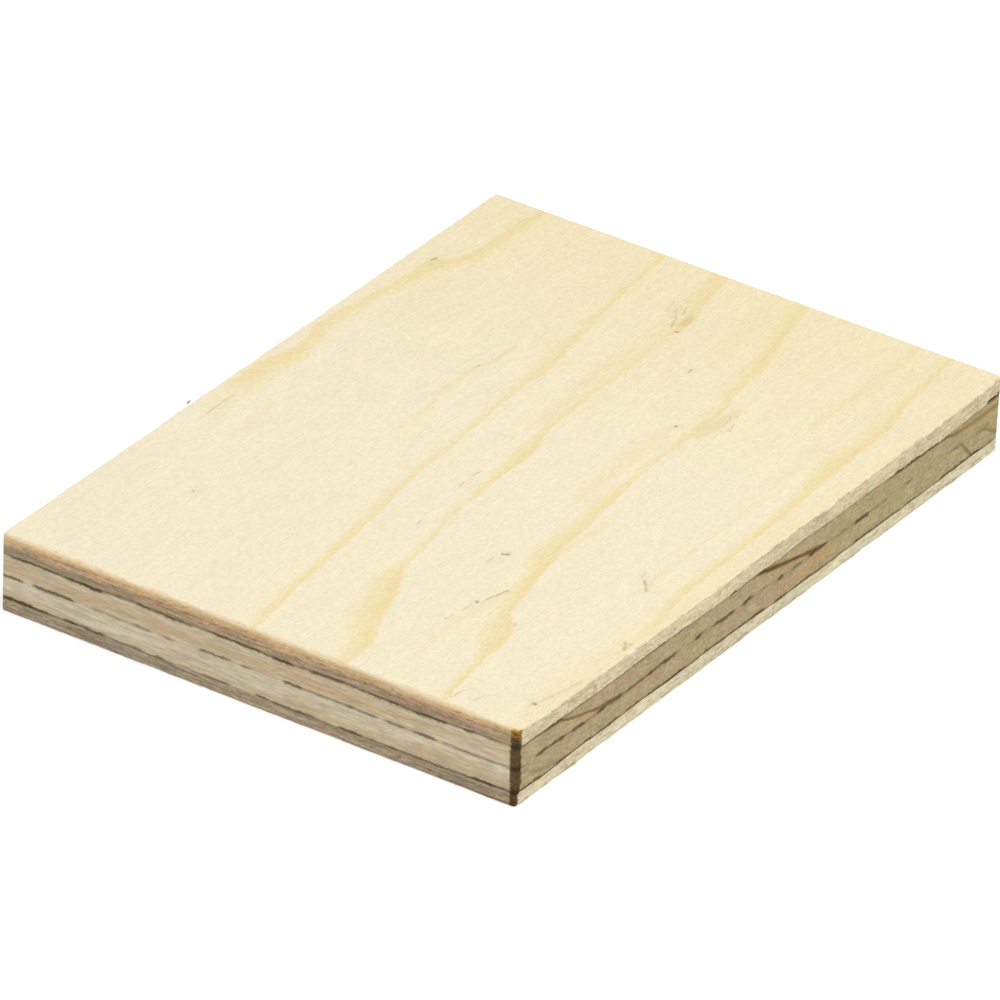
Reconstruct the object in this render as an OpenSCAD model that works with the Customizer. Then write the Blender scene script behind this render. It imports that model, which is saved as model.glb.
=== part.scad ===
// Plywood sheet: four veneers glued crosswise into a balanced panel, sawn square and eased along its edges.
// It lies flat on its back veneer. The origin is the middle of the back, with +X along the grain of the
// face and the back, +Y across that grain and +Z through the thickness, towards the sanded face.

/* [Sheet] */
// Length of the sheet, along the grain of its face and back
sheet_length = 148; // [60:1:600]
// Width of the sheet, across the grain of its face and back
sheet_width = 106; // [40:1:400]
// Bevel on the four upright corners, measured along each edge
corner_bevel = 0.3; // [0.1:0.1:3]

/* [Veneers] */
// Thickness of the sanded face veneer, with its grain along the length
face_thickness = 3.7; // [1.5:0.1:6]
// Thickness of the upper core veneer, with its grain across the length
upper_core_thickness = 4.2; // [1.5:0.1:6]
// Thickness of the lower core veneer, with its grain across the length
lower_core_thickness = 4.3; // [1.5:0.1:6]
// Thickness of the back veneer, with its grain along the length
back_thickness = 2.8; // [1.5:0.1:6]

/* [Core joint] */
// Width of the end strip of the lower core, measured on its upper side
end_strip_width = 12.5; // [9:0.5:40]
// How far the joint beside that strip leans outwards between its upper and its lower side
joint_lean = 4; // [0:0.5:8]

/* [Edges] */
// Radius that sanding leaves along the edges of the face
face_arris = 0.5; // [0.1:0.1:1.4]
// Radius left along the edges of the back
back_arris = 0.4; // [0.1:0.1:1.4]

/* [Hidden] */

// Height of each glue line above the back
lower_glue_line = back_thickness;
middle_glue_line = lower_glue_line + lower_core_thickness;
upper_glue_line = middle_glue_line + upper_core_thickness;

// Distance that a cutting shape reaches past what it cuts
overrun = 1;

// Long grain shows pale on a sawn edge and cut grain darker
face_tone = "wheat";
upper_core_tone = "tan";
lower_core_tone = "burlywood";
back_tone = "navajowhite";

// Segments in a full circle
$fn = 64;

// Plan of the sheet: a rectangle whose corners a diamond about the same centre cuts off
module sheet_plan() {
    diamond_reach = (sheet_length + sheet_width) / 2 - corner_bevel;
    intersection() {
        square([sheet_length, sheet_width], center = true);
        rotate(45) square(diamond_reach * sqrt(2), center = true);
    }
}

// A veneer as the saw leaves it: the plan of the sheet, with square edges, above the given height
module sawn_veneer(base, thickness) {
    translate([0, 0, base]) linear_extrude(thickness) sheet_plan();
}

// Section through an outer veneer over the given span, its two upper corners rounded to the arris
module eased_section(span, thickness, arris) {
    shoulder = span - 2 * arris;
    translate([-span / 2, 0]) square([span, thickness - arris]);
    translate([-shoulder / 2, 0]) square([shoulder, thickness]);
    for (side = [-1, 1])
        translate([side * shoulder / 2, thickness - arris]) circle(arris);
}

// An outer veneer, outer side up: what the plan and the sections along and across it have in common
module eased_veneer(thickness, arris) {
    intersection() {
        sawn_veneer(0, thickness);
        rotate([90, 0, 0])
            linear_extrude(sheet_width, center = true) eased_section(sheet_length, thickness, arris);
        rotate([90, 0, 90])
            linear_extrude(sheet_length, center = true) eased_section(sheet_width, thickness, arris);
    }
}

// Everything on the end strip's side of the leaning joint, reaching past the lower core all round
module beyond_joint() {
    joint_top = sheet_length / 2 - end_strip_width;
    joint_foot = joint_top + joint_lean;
    lean_past = overrun * joint_lean / lower_core_thickness;
    far_side = sheet_length / 2 + overrun;
    translate([0, 0, lower_glue_line]) rotate([90, 0, 0])
        linear_extrude(sheet_width + 2 * overrun, center = true)
            polygon([
                [joint_top - lean_past, lower_core_thickness + overrun],
                [far_side, lower_core_thickness + overrun],
                [far_side, -overrun],
                [joint_foot + lean_past, -overrun]
            ]);
}

// The sanded face, its eased edges uppermost
module face_veneer() {
    color(face_tone)
        translate([0, 0, upper_glue_line]) eased_veneer(face_thickness, face_arris);
}

// The upper core, one whole veneer
module upper_core_veneer() {
    color(upper_core_tone) sawn_veneer(middle_glue_line, upper_core_thickness);
}

// The lower core as far as its joint
module lower_core_veneer() {
    color(lower_core_tone) difference() {
        sawn_veneer(lower_glue_line, lower_core_thickness);
        beyond_joint();
    }
}

// The strip that makes up the lower core to its full length, butted against the rest of it
module lower_core_end_strip() {
    color(lower_core_tone) intersection() {
        sawn_veneer(lower_glue_line, lower_core_thickness);
        beyond_joint();
    }
}

// The back, turned over so that its eased edges are undermost
module back_veneer() {
    color(back_tone)
        translate([0, 0, back_thickness]) rotate([180, 0, 0]) eased_veneer(back_thickness, back_arris);
}

face_veneer();
upper_core_veneer();
lower_core_veneer();
lower_core_end_strip();
back_veneer();
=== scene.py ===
"""Dresses a small sheet of softwood plywood: sanded face, crossed cores, back, glue lines and sawn edges."""
import math
from typing import NamedTuple

import bpy
import numpy as np
from bpy.props import FloatProperty, FloatVectorProperty, IntProperty, PointerProperty
from mathutils import Matrix, Vector, geometry


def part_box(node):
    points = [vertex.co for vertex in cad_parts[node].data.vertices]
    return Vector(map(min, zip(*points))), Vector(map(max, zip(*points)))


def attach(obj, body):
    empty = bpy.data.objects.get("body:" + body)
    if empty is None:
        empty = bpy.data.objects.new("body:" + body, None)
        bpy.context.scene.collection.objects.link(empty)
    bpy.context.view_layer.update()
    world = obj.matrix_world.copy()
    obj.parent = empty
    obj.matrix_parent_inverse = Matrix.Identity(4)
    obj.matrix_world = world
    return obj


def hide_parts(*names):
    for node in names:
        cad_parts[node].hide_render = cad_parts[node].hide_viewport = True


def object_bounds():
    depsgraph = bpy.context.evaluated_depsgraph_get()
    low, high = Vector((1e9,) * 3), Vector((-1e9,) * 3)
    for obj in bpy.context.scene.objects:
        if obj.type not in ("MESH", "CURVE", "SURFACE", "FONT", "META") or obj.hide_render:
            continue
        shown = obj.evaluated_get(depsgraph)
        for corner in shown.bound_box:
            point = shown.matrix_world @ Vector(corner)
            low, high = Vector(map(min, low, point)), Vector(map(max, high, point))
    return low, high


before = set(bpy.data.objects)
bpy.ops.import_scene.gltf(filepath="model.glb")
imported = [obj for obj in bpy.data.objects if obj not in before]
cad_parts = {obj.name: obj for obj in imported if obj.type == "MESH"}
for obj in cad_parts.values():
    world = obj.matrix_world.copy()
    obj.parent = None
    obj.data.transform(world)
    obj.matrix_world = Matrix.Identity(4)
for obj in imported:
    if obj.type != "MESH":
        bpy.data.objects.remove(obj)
CAD_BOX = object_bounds()

bl_info = {
    "name": "Plywood Sheet",
    "version": (1, 0, 0),
    "blender": (4, 5, 0),
    "location": "View3D > Sidebar > Plywood",
    "description": "Dresses a sheet of softwood plywood with veneers, glue lines, sawn edges and a studio",
    "category": "Object",
}

MM = 0.001
BODY = "root"

# Edges in the order of a walk round the sheet, anticlockwise from above, from the corner nearest the camera
NEAR_LONG, FAR_END, FAR_LONG, NEAR_END = EDGES = ("near_long", "far_end", "far_long", "near_end")
BEVEL, JOINT = "bevel", "joint"


class Band(NamedTuple):
    """A band of latewood: middle, half width and strength along it, and its crisp side, near 1 or far -1."""

    middle: tuple
    half: tuple
    strength: tuple
    crisp: int = 0


class Flaw(NamedTuple):
    """A check or pit of the face: its line, measured as the bands are, its width, depth and darkness."""

    line: tuple
    width: float
    depth: float
    dark: float = 1.0


class Stain(NamedTuple):
    """A discoloured patch of the face: its middle and radii in millimetres, and how brown and grey it is."""

    middle: tuple
    radii: tuple
    brown: float
    grey: float


# How each glue line waves, and where dark resin shows in it, in millimetres along each edge of the walk
GLUE_WAVES = {
    ("upper", NEAR_LONG): (
        (0, .45), (8, .6), (20, .5), (32, .5), (38, .65), (44, .6), (50, .5), (56, .3), (62, .25),
        (68, .45), (74, .3), (86, .5), (92, .35), (104, .3), (116, .3), (122, .15), (128, 0), (134, .35),
        (142.4, .42), (143.6, .85), (148, .95),
    ),
    ("upper", FAR_END): ((0, .8), (2, .5), (30, -.1), (60, .15), (85, -.2), (106, 0)),
    ("upper", FAR_LONG): ((0, 0), (40, .2), (75, -.15), (110, .1), (148, .1)),
    ("upper", NEAR_END): (
        (0, -.2), (8, -.05), (14, -.2), (20, -.32), (26, .08), (32, -.05), (38, -.2), (44, -.05), (50, 0),
        (56, -.25), (62, -.25), (68, .1), (74, 0), (80, -.05), (86, -.2), (92, -.05), (98, .18), (106, .34),
    ),
    ("middle", NEAR_LONG): (
        (0, .25), (8, .55), (14, .4), (20, .06), (26, .15), (32, .08), (38, .3), (44, .44), (56, .44),
        (62, .22), (68, .36), (74, .3), (80, 0), (86, .06), (92, .17), (98, -.1), (110, -.13), (116, .15),
        (128, .16), (134, -.17), (148, -.25),
    ),
    ("middle", FAR_END): ((0, -.6), (25, -.2), (60, .1), (106, -.1)),
    ("middle", FAR_LONG): ((0, -.1), (50, .15), (100, -.2), (148, -.05)),
    ("middle", NEAR_END): (
        (0, -.18), (8, -.05), (20, -.05), (38, -.18), (44, .09), (50, .02), (56, .12), (62, .02), (68, .14),
        (80, .02), (86, .09), (98, .04), (106, .22),
    ),
    ("lower", NEAR_LONG): (
        (0, -.2), (8, -.45), (14, -.12), (20, .05), (26, -.15), (32, .1), (38, .2), (44, -.1), (50, -.05),
        (56, .2), (68, .05), (80, -.25), (86, -.18), (92, -.3), (98, -.18), (134, -.22), (148, -.2),
    ),
    ("lower", FAR_END): ((0, -.1), (35, .15), (70, -.1), (106, .05)),
    ("lower", FAR_LONG): ((0, .05), (45, -.2), (90, .1), (148, -.15)),
    ("lower", NEAR_END): (
        (0, -.13), (8, -.2), (17, -.13), (26, -.38), (35, -.35), (44, -.4), (50, -.3), (58, -.45),
        (68, -.33), (75, -.45), (90, -.42), (98, -.3), (104, -.07), (106, -.05),
    ),
}
GLUE_SEEPS = {
    ("upper", NEAR_LONG): (
        (0, 1.2, .9), (4, 148, .2), (1.56, 8.36, .3), (8.84, 12.24, .8), (17.1, 19.04, .5),
        (26.9, 35.9, .4), (35.9, 45.9, .35), (46.9, 48.9, .45), (61.9, 65.4, .6), (70.9, 73.9, .75),
        (83.9, 85.9, .45), (90.9, 92.9, .6), (103.9, 106.4, .6), (106.4, 109.9, .35), (113.9, 121.9, .8),
        (122.9, 128.9, .55), (138.7, 140.2, .6), (142.3, 147.8, .95),
    ),
    ("upper", NEAR_END): (
        (0, 1.5, .36), (1.5, 13, .62), (13, 15, .83), (15, 21, .92), (21, 28, .41), (28, 31, .77),
        (31, 34, .57), (34, 38, .77), (38, 40, .52), (40, 42, .31), (42, 44, .52), (44, 46, .87),
        (46, 54, .72), (54, 56, .57), (56.3, 60.7, .92), (61, 64, .41), (64, 66, .77), (66, 72, .62),
        (72, 74, .52), (74, 75.3, .77), (75.3, 80, .62), (80, 82, .83), (82, 85, .52), (85, 92, .8),
        (92, 95, .36), (95, 98, .67), (98, 104.4, .41), (104.6, 106, .92),
    ),
    ("middle", NEAR_LONG): (
        (0, 1.2, .9), (5.4, 48, .33), (50, 112, .2), (1.56, 3.5, .3), (5.44, 8.84, .7), (9.33, 14.19, .6),
        (15.64, 17.29, .75), (17.29, 20.01, .65), (23.41, 25.9, .75), (25.9, 28.9, .5), (28.9, 30.9, .7),
        (31.9, 37.9, .5), (37.9, 41.9, .6), (41.9, 46.9, .7), (52.9, 54.9, .85), (57.9, 64.9, .6),
        (67.4, 70.4, .8), (72.9, 74.4, .5), (78.2, 79.6, .9), (82.4, 85.4, .5), (87.4, 93.4, .6),
        (95.9, 99.9, .3), (101.9, 106.4, .8), (106.9, 109.9, .3), (110.9, 111.9, .5), (117.9, 119.9, .5),
        (132.9, 135.9, .4), (142.9, 144.9, .35),
    ),
    ("middle", NEAR_END): (
        (.2, 4.5, .61), (58, 93, .22), (93, 104.8, .4), (6.5, 15, .68), (15, 18.5, .19), (18.5, 22, .37),
        (22, 27, .33), (27, 31.5, .42), (33.5, 36, .37), (36, 41, .15), (41, 48, .52), (49.5, 52, .45),
        (56, 58, .23), (58.5, 62.5, .68), (62.5, 71, .42), (71, 73, .61), (73, 78, .45), (79, 84, .49),
        (85, 90, .57), (91, 93, .37), (94, 97, .45), (99, 102, .3), (103, 104.6, .26), (104.8, 106, .68),
    ),
    ("lower", NEAR_LONG): (
        (0, 1.4, .95), (1.88, 4.86, .8), (4.86, 7.34, .9), (7.34, 11.8, .3), (11.8, 14.78, .7),
        (14.78, 19.74, .4), (19.74, 22.72, .7), (23.71, 26.7, .5), (26.7, 30.2, .75), (32.7, 36.7, .6),
        (38.7, 43.7, .6), (43.7, 46.7, .9), (46.7, 50.7, .8), (51.7, 55.7, .4), (55.7, 60.7, .5),
        (60.7, 62.7, .65), (62.7, 69.7, .45), (69.7, 74.7, .7), (77.7, 81.7, .75), (82.7, 92.7, .5),
        (92.7, 99.7, .3), (102.7, 107.7, .8), (107.7, 116.7, .4), (118.7, 121.7, .6), (129.7, 142.7, .75),
        (144.7, 146.7, .4),
    ),
    ("lower", NEAR_END): (
        (0, 7, .9), (7, 10, .8), (10, 13, .4), (13, 16, .8), (16, 22, .6), (22, 30, .45), (32, 34, .55),
        (34, 42, .3), (42, 48, .5), (53, 56, .65), (56, 66, .5), (66, 69, .3), (70, 75, .7), (75, 97, .5),
        (97, 102, .9), (102, 104.6, .6), (104.6, 106, .95),
    ),
}

# Share of its lean that the near long edge has at places along it, and of the face's step past the core
EDGE_LEAN = ((0, .35), (2, .6), (10, .9), (25, 1), (120, 1), (135, .8), (148, .4))
FACE_STEP = ((0, .2), (15, .8), (120, 1), (136, 3), (148, 4))

# Latewood of the sanded face, in millimetres along it from the near end and across it from the far edge
FACE_BANDS = (
    Band(((60, 3.2), (74, 3.3), (80, 4.6), (86, 4.1), (91, 2.9), (100, 3.3), (106, 3.7), (111, 5),
          (121, 6.8), (125, 9.1), (136, 10.1), (148, 10.9)),
         ((60, 1.6), (63, 2.1), (74, 2.1), (80, 1.7), (86, 1.1), (91, 1.4), (100, 1.15), (106, 1),
          (111, 1.4), (121, 1.8), (125, 1.3), (136, 1.2), (148, 1.2)),
         ((52, 0), (62, .3), (68, .8), (75, .95), (84, .9), (100, .8), (110, .85), (118, .95), (148, 1)),
         -1),
    Band(((98, 3.3), (110, 4), (119, 4.1), (123, 4.8)), ((98, .35), (123, .35)),
         ((98, 0), (102, .6), (121, .8), (124, 0))),
    Band(((53, 4), (62, 3.9)), ((53, .25), (62, .25)), ((52, 0), (55, .5), (60, .5), (63, 0))),
    Band(((0, 51.6), (5, 51), (15, 49.4), (25, 48.5), (40, 46.7), (50, 45.3), (60, 44.3), (74, 43.2),
          (90, 41.9), (103, 41.1), (112, 40), (118, 39.1), (129, 37.6), (140, 36.6), (148, 35.8)),
         ((0, .8), (30, .9), (60, .75), (74, .65), (90, .8), (103, 1.3), (112, .8), (118, .8), (130, .7),
          (148, .8)),
         ((0, .7), (30, .7), (60, .65), (75, .55), (90, .65), (105, .8), (120, .85), (135, .8), (148, 1)),
         1),
    Band(((0, 70.2), (7, 68.8), (14, 65.6), (21, 63.2), (28, 60.9), (32, 60.1), (36, 59.6), (43, 58.5),
          (50, 57.1), (60, 56.3), (72, 55.5), (76, 55.4), (80, 55), (83, 54), (90, 53.4), (100, 53),
          (110, 52.6), (124, 52.4), (128, 52.2), (134, 51), (140, 49.6), (148, 48.3)),
         ((0, .9), (7, 1.9), (14, 2.4), (21, 2.4), (28, 1.9), (32, 1.2), (36, .8), (43, .7), (60, .65),
          (70, .8), (75, 1.2), (80, 1.1), (84, .7), (100, .6), (124, .7), (128, 1.3), (134, 1.2),
          (148, 1.2)),
         ((0, .7), (8, .75), (20, .9), (28, .95), (33, .75), (45, .65), (60, .7), (70, .8), (76, .95),
          (81, .8), (88, .6), (100, .55), (120, .55), (128, .9), (135, .9), (143, .9), (148, 1)), 1),
    Band(((84, 51.6), (100, 51), (128, 49.6)), ((84, 1.4), (128, 1.6)),
         ((82, 0), (92, .35), (118, .35), (130, 0))),
    Band(((134, 49), (148, 47)), ((134, 1.2), (148, .9)), ((132, 0), (138, .6), (148, .75))),
    Band(((86, 54), (100, 53.6), (112, 53.7), (124, 53.6)), ((86, .3), (124, .3)),
         ((85, 0), (92, .35), (120, .35), (125, 0))),
    Band(((0, 90.9), (7, 89.1), (14, 88), (18.5, 86.7), (23.5, 85.5), (28.5, 83.5), (31, 82.2), (37, 81),
          (46, 78.4), (50, 77.5), (60, 77), (74, 75.4), (85, 74.8), (99, 74.5), (108, 73.8), (112, 72.8),
          (117, 71.7), (127.5, 70.3), (135, 67.7), (141, 66.3), (148, 65.3)),
         ((0, .9), (7, .65), (14, .8), (18.5, 1.6), (23.5, 2.2), (28.5, 1.85), (31, 1.3), (37, 1.15),
          (46, 1.6), (50, 1.8), (60, 1.3), (74, 1.05), (85, .6), (99, .6), (108, .8), (117, 1.2),
          (127.5, 1.6), (135, 1.65), (148, 1.5)),
         ((0, .85), (10, .7), (18, .75), (24, .9), (29, .85), (34, .8), (44, .9), (50, 1), (60, .9),
          (72, .8), (85, .65), (100, .65), (112, .75), (122, .9), (130, 1), (148, 1)), 1),
    Band(((97, 74.6), (104, 75.6), (111, 76.4)), ((97, .8), (103, 1.9), (111, .7)),
         ((96, 0), (100, .5), (106, .5), (112, 0)), 1),
    Band(((68, 71.4), (84, 70.8), (99, 71.2)), ((68, 1.5), (99, 1.6)),
         ((66, 0), (74, .35), (93, .35), (100, 0))),
    Band(((46, 79.6), (58, 79.8), (70, 79.4)), ((46, .35), (70, .35)),
         ((45, 0), (50, .4), (66, .4), (71, 0))),
    Band(((8, 79), (20, 78.2), (34, 79.2), (45, 79)), ((8, .5), (45, .5)),
         ((7, 0), (14, .3), (38, .3), (46, 0))),
    Band(((40, 105), (46, 104.2), (50, 103.2), (60, 102.7), (74, 102.4), (93, 101.2), (101, 100.2),
          (117, 100), (123, 98.8), (129, 98), (140, 96.8), (148, 95.7)),
         ((40, .9), (50, .9), (74, .75), (93, .95), (101, 1.5), (117, 1.4), (123, 1.4), (129, .9),
          (148, .8)),
         ((36, 0), (42, .6), (50, .7), (60, .8), (80, .85), (95, .9), (106, 1), (118, 1), (126, .95),
          (148, .9)), 1),
    Band(((111, 90.3), (118, 89.7), (126, 90.1), (136, 90), (148, 89.6)), ((111, .8), (148, .8)),
         ((110, 0), (116, .45), (138, .55), (148, .4))),
    Band(((49, 97.6), (60, 96.8), (72, 96.8), (84, 96.9), (93, 97.4)), ((49, .4), (93, .4)),
         ((48, 0), (54, .35), (88, .35), (94, 0))),
    Band(((95, 96.3), (106, 95.6), (117, 95.7)), ((95, .35), (117, .35)),
         ((94, 0), (102, .3), (112, .3), (118, 0))),
    Band(((118, 64), (130, 62.8), (138, 61), (148, 60.2)), ((118, 1.8), (148, 1.8)),
         ((118, 0), (130, .25), (148, .35))),
    Band(((68, 34), (78, 33.2), (82, 32.4), (95, 32.1), (100, 32.9), (107, 33.3)), ((68, .7), (107, .5)),
         ((67, 0), (78, .3), (84, .32), (95, .3), (104, .2), (108, 0))),
    Band(((49, 12.4), (56, 12.2), (63, 11)), ((49, .8), (63, .8)), ((48, 0), (54, .2), (60, .2), (64, 0))),
    Band(((60, 39.2), (66, 38.4), (72, 37.4)), ((60, .4), (72, .4)),
         ((59, 0), (64, .22), (69, .22), (73, 0))),
)

# Growth rings across the cut ends of the cores, the painted shade of the void under the face near the far
# end, and the golden wood beside the rings, along the length and down from the face
UPPER_CORE_RINGS = (
    Band(((7.5, 3.4), (10.5, 3.45), (12, 3.6), (13.7, 4.3), (16.9, 5.2), (21.5, 6.35), (23.2, 6.8),
          (26.2, 7.1), (28.7, 7.5), (31.3, 7.7)),
         ((7.7, .3), (11.1, .35), (13.8, .26), (17.1, .24), (23.1, .3), (28.1, .36), (31.1, .3)),
         ((6.7, 0), (8.2, .8), (12.1, .85), (15.1, .75), (21.1, .75), (26.1, .85), (30.1, .6), (32.1, 0))),
    Band(((70.4, 3.4), (71.9, 3.6), (73.5, 4), (77.4, 4.8), (82.6, 5.95), (86.1, 6.6), (89.2, 7.35),
          (93.8, 8)),
         ((70.1, .34), (74.1, .46), (79.1, .4), (85.1, .36), (87.6, .44), (89.1, .62), (90.6, .44),
          (93.6, .3)), ((69.1, 0), (71.6, .9), (77.1, 1), (85.1, .9), (89.1, 1), (93.1, .8), (95.1, 0))),
    Band(((111.9, 3.9), (123, 3.98), (129.1, 4.1), (131.1, 4.4), (133.7, 4.95), (136.3, 5.2), (147.8, 5.5)),
         ((112, .25), (130, .28), (136.2, .36), (147.8, .42)),
         ((111, 0), (114, .7), (122, .8), (129.1, .75), (133.1, .55), (138, .4), (147.8, .4))),
)
UPPER_CORE_GAP_SHADE = (
    Band(((142.2, 3.4), (148, 3.25)), ((142.2, .2), (144, .5), (148, .55)),
         ((141.8, 0), (142.8, 1), (148, 1))),
)
UPPER_CORE_GLOW = (
    Band(((127.1, 4.4), (133.2, 5), (137.3, 5.3), (146.6, 5.7)), ((127.1, .5), (146.6, .6)),
         ((126.1, 0), (132.2, .6), (139.4, .9), (147.6, .9))),
    Band(((133.1, 4.4), (146.6, 4.7)), ((133.2, .6), (146.6, .8)), ((132.1, 0), (137.3, .45), (147.6, .5))),
    Band(((11, 4.2), (17.1, 5.5), (23.2, 6.9), (30.3, 7.8)), ((11.2, .6), (30.1, .8)),
         ((10.2, 0), (15.2, .4), (26.1, .5), (32.1, 0))),
    Band(((71.9, 4.2), (83.1, 6.3), (91.3, 7.6)), ((72.1, .7), (91.1, .8)),
         ((71.1, 0), (77.1, .35), (89.1, .4), (94.1, 0))),
)
LOWER_CORE_RINGS = (
    Band(((1.6, 8.6), (2.6, 9.05), (7.7, 11.05), (12.7, 11.8)), ((1.7, .4), (12.6, .4)),
         ((.8, 0), (3.7, .25), (10.6, .25), (13.6, 0))),
    Band(((140.6, 8.25), (142.8, 8.5), (144.7, 9.5), (147.3, 10.95)), ((140.7, .36), (147.8, .4)),
         ((140.1, 0), (142.2, .4), (146.8, .45), (147.8, .45))),
)
LOWER_CORE_GLOW = (
    Band(((77.7, 11.8), (83.1, 10.8), (88.1, 10.15), (93.2, 9.4), (96.6, 8.85), (99.3, 8.2)),
         ((77.5, .7), (89.5, .8), (99.5, .5)),
         ((75.5, 0), (80.5, .55), (89.5, .65), (96.5, .65), (100.5, 0))),
    Band(((142.6, 8.3), (147.8, 9.7)), ((142.7, .5), (147.8, .8)), ((141.7, 0), (143.7, .85), (147.8, .9))),
)
# Streaks along the cores on the sheet's ends, across the width from the far edge and down from the face
UPPER_CORE_STREAKS = (
    Band(((0, 6.5), (20, 6.6), (45, 6.6), (60, 6.65), (70, 6.6), (75, 6.45), (80, 6.15), (85, 5.75),
          (90, 5.35), (100, 4.9)), ((0, .5), (30, .35), (60, .5), (80, .35), (100, .3)),
         ((0, .7), (20, .8), (32, .9), (40, .6), (60, .75), (80, .85), (90, .6), (98, .15), (106, 0))),
    Band(((0, 5.5), (40, 5.8), (65, 5.7), (106, 5.6)), ((0, .5), (106, .5)),
         ((0, .25), (45, .45), (62, .5), (80, .2), (106, 0))),
)
LOWER_CORE_STREAKS = (
    Band(((0, 11.9), (106, 11.9)), ((0, .35), (106, .35)), ((0, .4), (106, .4))),
    Band(((0, 10.9), (14, 11.2)), ((0, .35), (14, .35)), ((0, .5), (8, .5), (16, 0))),
    Band(((50, 11.6), (65, 11.5), (80, 11.2), (95, 10.9), (106, 10.6)), ((50, .35), (80, .5), (106, .9)),
         ((48, 0), (60, .45), (80, .5), (106, .6))),
)
# Dark rings across the cut ends of the face and of the back
FACE_RINGS = (
    Band(((0, 2.95), (14, 2.8), (24, 2.5), (34, 2.35)), ((0, .18), (34, .16)),
         ((0, .35), (12, .4), (30, .3), (36, 0))),
    Band(((20, 1.6), (40, 1.75), (58, 2)), ((20, .14), (58, .16)), ((19, 0), (26, .2), (50, .25), (60, 0))),
    Band(((44, 2.7), (62, 2.6), (80, 2.4), (106, 2.5)), ((44, .15), (106, .18)),
         ((42, 0), (50, .25), (90, .25), (106, .3))),
)
BACK_RINGS = (
    Band(((30, 12.7), (36, 13.05), (41, 13.5), (47, 14)), ((30, .16), (47, .2)),
         ((29, 0), (33, .6), (42, .6), (48, 0))),
    Band(((62, 13), (80, 13.3), (100, 13.2)), ((62, .25), (100, .3)),
         ((60, 0), (66, .35), (94, .4), (102, 0))),
    Band(((93, 14.7), (106, 14.75)), ((93, .2), (106, .25)), ((92, 0), (96, .6), (106, .7))),
    Band(((4, 13.6), (20, 13.9)), ((4, .2), (20, .2)), ((3, 0), (8, .35), (17, .35), (21, 0))),
)

# Checks, pits and stains of the face, measured as its bands are
FACE_FLAWS = (
    Flaw(((31, 17.2), (31.3, 17.8)), .42, .2, .65),
    Flaw(((45.6, 71.2), (46.5, 72.7)), .38, .2, .74),
    Flaw(((41.7, 70.9), (44.4, 70.9)), .24, .08, .2),
    Flaw(((29.8, 76.9), (30.6, 77.2)), .42, .2, .76),
    Flaw(((31.4, 77.8), (35.3, 78.8), (36.6, 79.2)), .22, .12, .52),
    Flaw(((22.2, 75.9), (24.4, 76.2)), .22, .1, .3),
    Flaw(((26.2, 76.5), (29.2, 76.8)), .22, .1, .33),
    Flaw(((125.9, 53), (126.7, 52.8)), .42, .2, .85),
    Flaw(((50.2, 98), (51.5, 97), (53.5, 95.3)), .28, .2, .52),
    Flaw(((53.4, 94.7), (55.6, 94.1)), .25, .12, .3),
    Flaw(((8.6, 102.7), (9.4, 102.8)), .4, .4, 1),
    Flaw(((9.4, 102.8), (15, 104), (20, 104.7)), .24, .1, .24),
    Flaw(((32, 104.8), (34.6, 103.5)), .3, .2, .54),
    Flaw(((34, 104.2), (35.2, 104.9)), .3, .2, .54),
    Flaw(((98.9, 71), (99.5, 70.8)), .35, .3, .94),
    Flaw(((95.2, 31.9), (96, 32.1)), .3, .16, .4),
    Flaw(((97, 33), (101, 33.2), (105, 33.3)), .22, .08, .2),
    Flaw(((54, 4), (58, 3.9), (62, 3.95)), .24, .08, .18),
    Flaw(((103, 79.2), (106, 78.6)), .24, .1, .3),
    Flaw(((2, 91), (5, 91.5), (7, 92.4)), .24, .08, .22),
    Flaw(((3.5, 94.6), (6, 95.2), (7.2, 96.8)), .24, .08, .22),
    Flaw(((121, 4.1), (122.6, 4.7)), .3, .2, .54),
    Flaw(((127, 51.2), (130, 50.2), (131.5, 49.3)), .28, .1, .36),
    Flaw(((129.5, 49.6), (133.5, 48.2)), .26, .08, .26),
    Flaw(((131, 47.2), (134.8, 46.6)), .24, .08, .2),
    Flaw(((131.8, 50.4), (134.6, 49.3)), .24, .08, .26),
    Flaw(((59.5, 52.9), (61.5, 52.6)), .25, .1, .28),
    Flaw(((64, 52.4), (66.5, 52.9)), .22, .08, .28),
    Flaw(((45, 54.4), (47, 54)), .25, .08, .28),
    Flaw(((27.4, 86.6), (28.6, 86)), .25, .1, .34),
    Flaw(((104.5, 77.4), (108, 76.6)), .22, .1, .3),
    Flaw(((107.6, 78), (109.6, 77.2)), .2, .08, .2),
    Flaw(((115.6, 62.6), (117.2, 62.1)), .28, .1, .42),
)
FACE_STAINS = (
    Stain((130.3, 52.3), (3, 1.2), .4, 0),
    Stain((128.6, 50.9), (2.2, .6), .35, .1),
    Stain((132.6, 48.8), (2.6, 1.3), .12, .35),
    Stain((108.6, 76.6), (1.9, .7), .3, .1),
    Stain((103, 76.3), (6.5, 2.2), .09, .1),
    Stain((116.3, 62.6), (1.2, .8), .25, .1),
    Stain((34, 37), (2, 1.6), 0, .1),
    Stain((45, 38), (2.2, 1.2), 0, .1),
    Stain((121.6, 44), (2, 3), 0, .06),
)

# How far the dark strip of the front corner reaches along the near long edge at heights above the floor
CORNER_DARK_WIDTH = ((0, .7), (2.2, .85), (4, 1.5), (8, 1.25), (11, .9), (15, .9))

# How far the splinter has sprung away at places along the far long edge, and how far below the face it starts
SPLINTER_BEND = ((92, 1.05), (98, .1))
SPLINTER_DROP = 0.35


def tone(red, green, blue):
    """Scene colour of an sRGB colour counted from 0 to 255."""
    return tuple(
        c / 12.92 if c <= 0.04045 else ((c + 0.055) / 1.055) ** 2.4
        for c in (red / 255, green / 255, blue / 255)
    )


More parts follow.
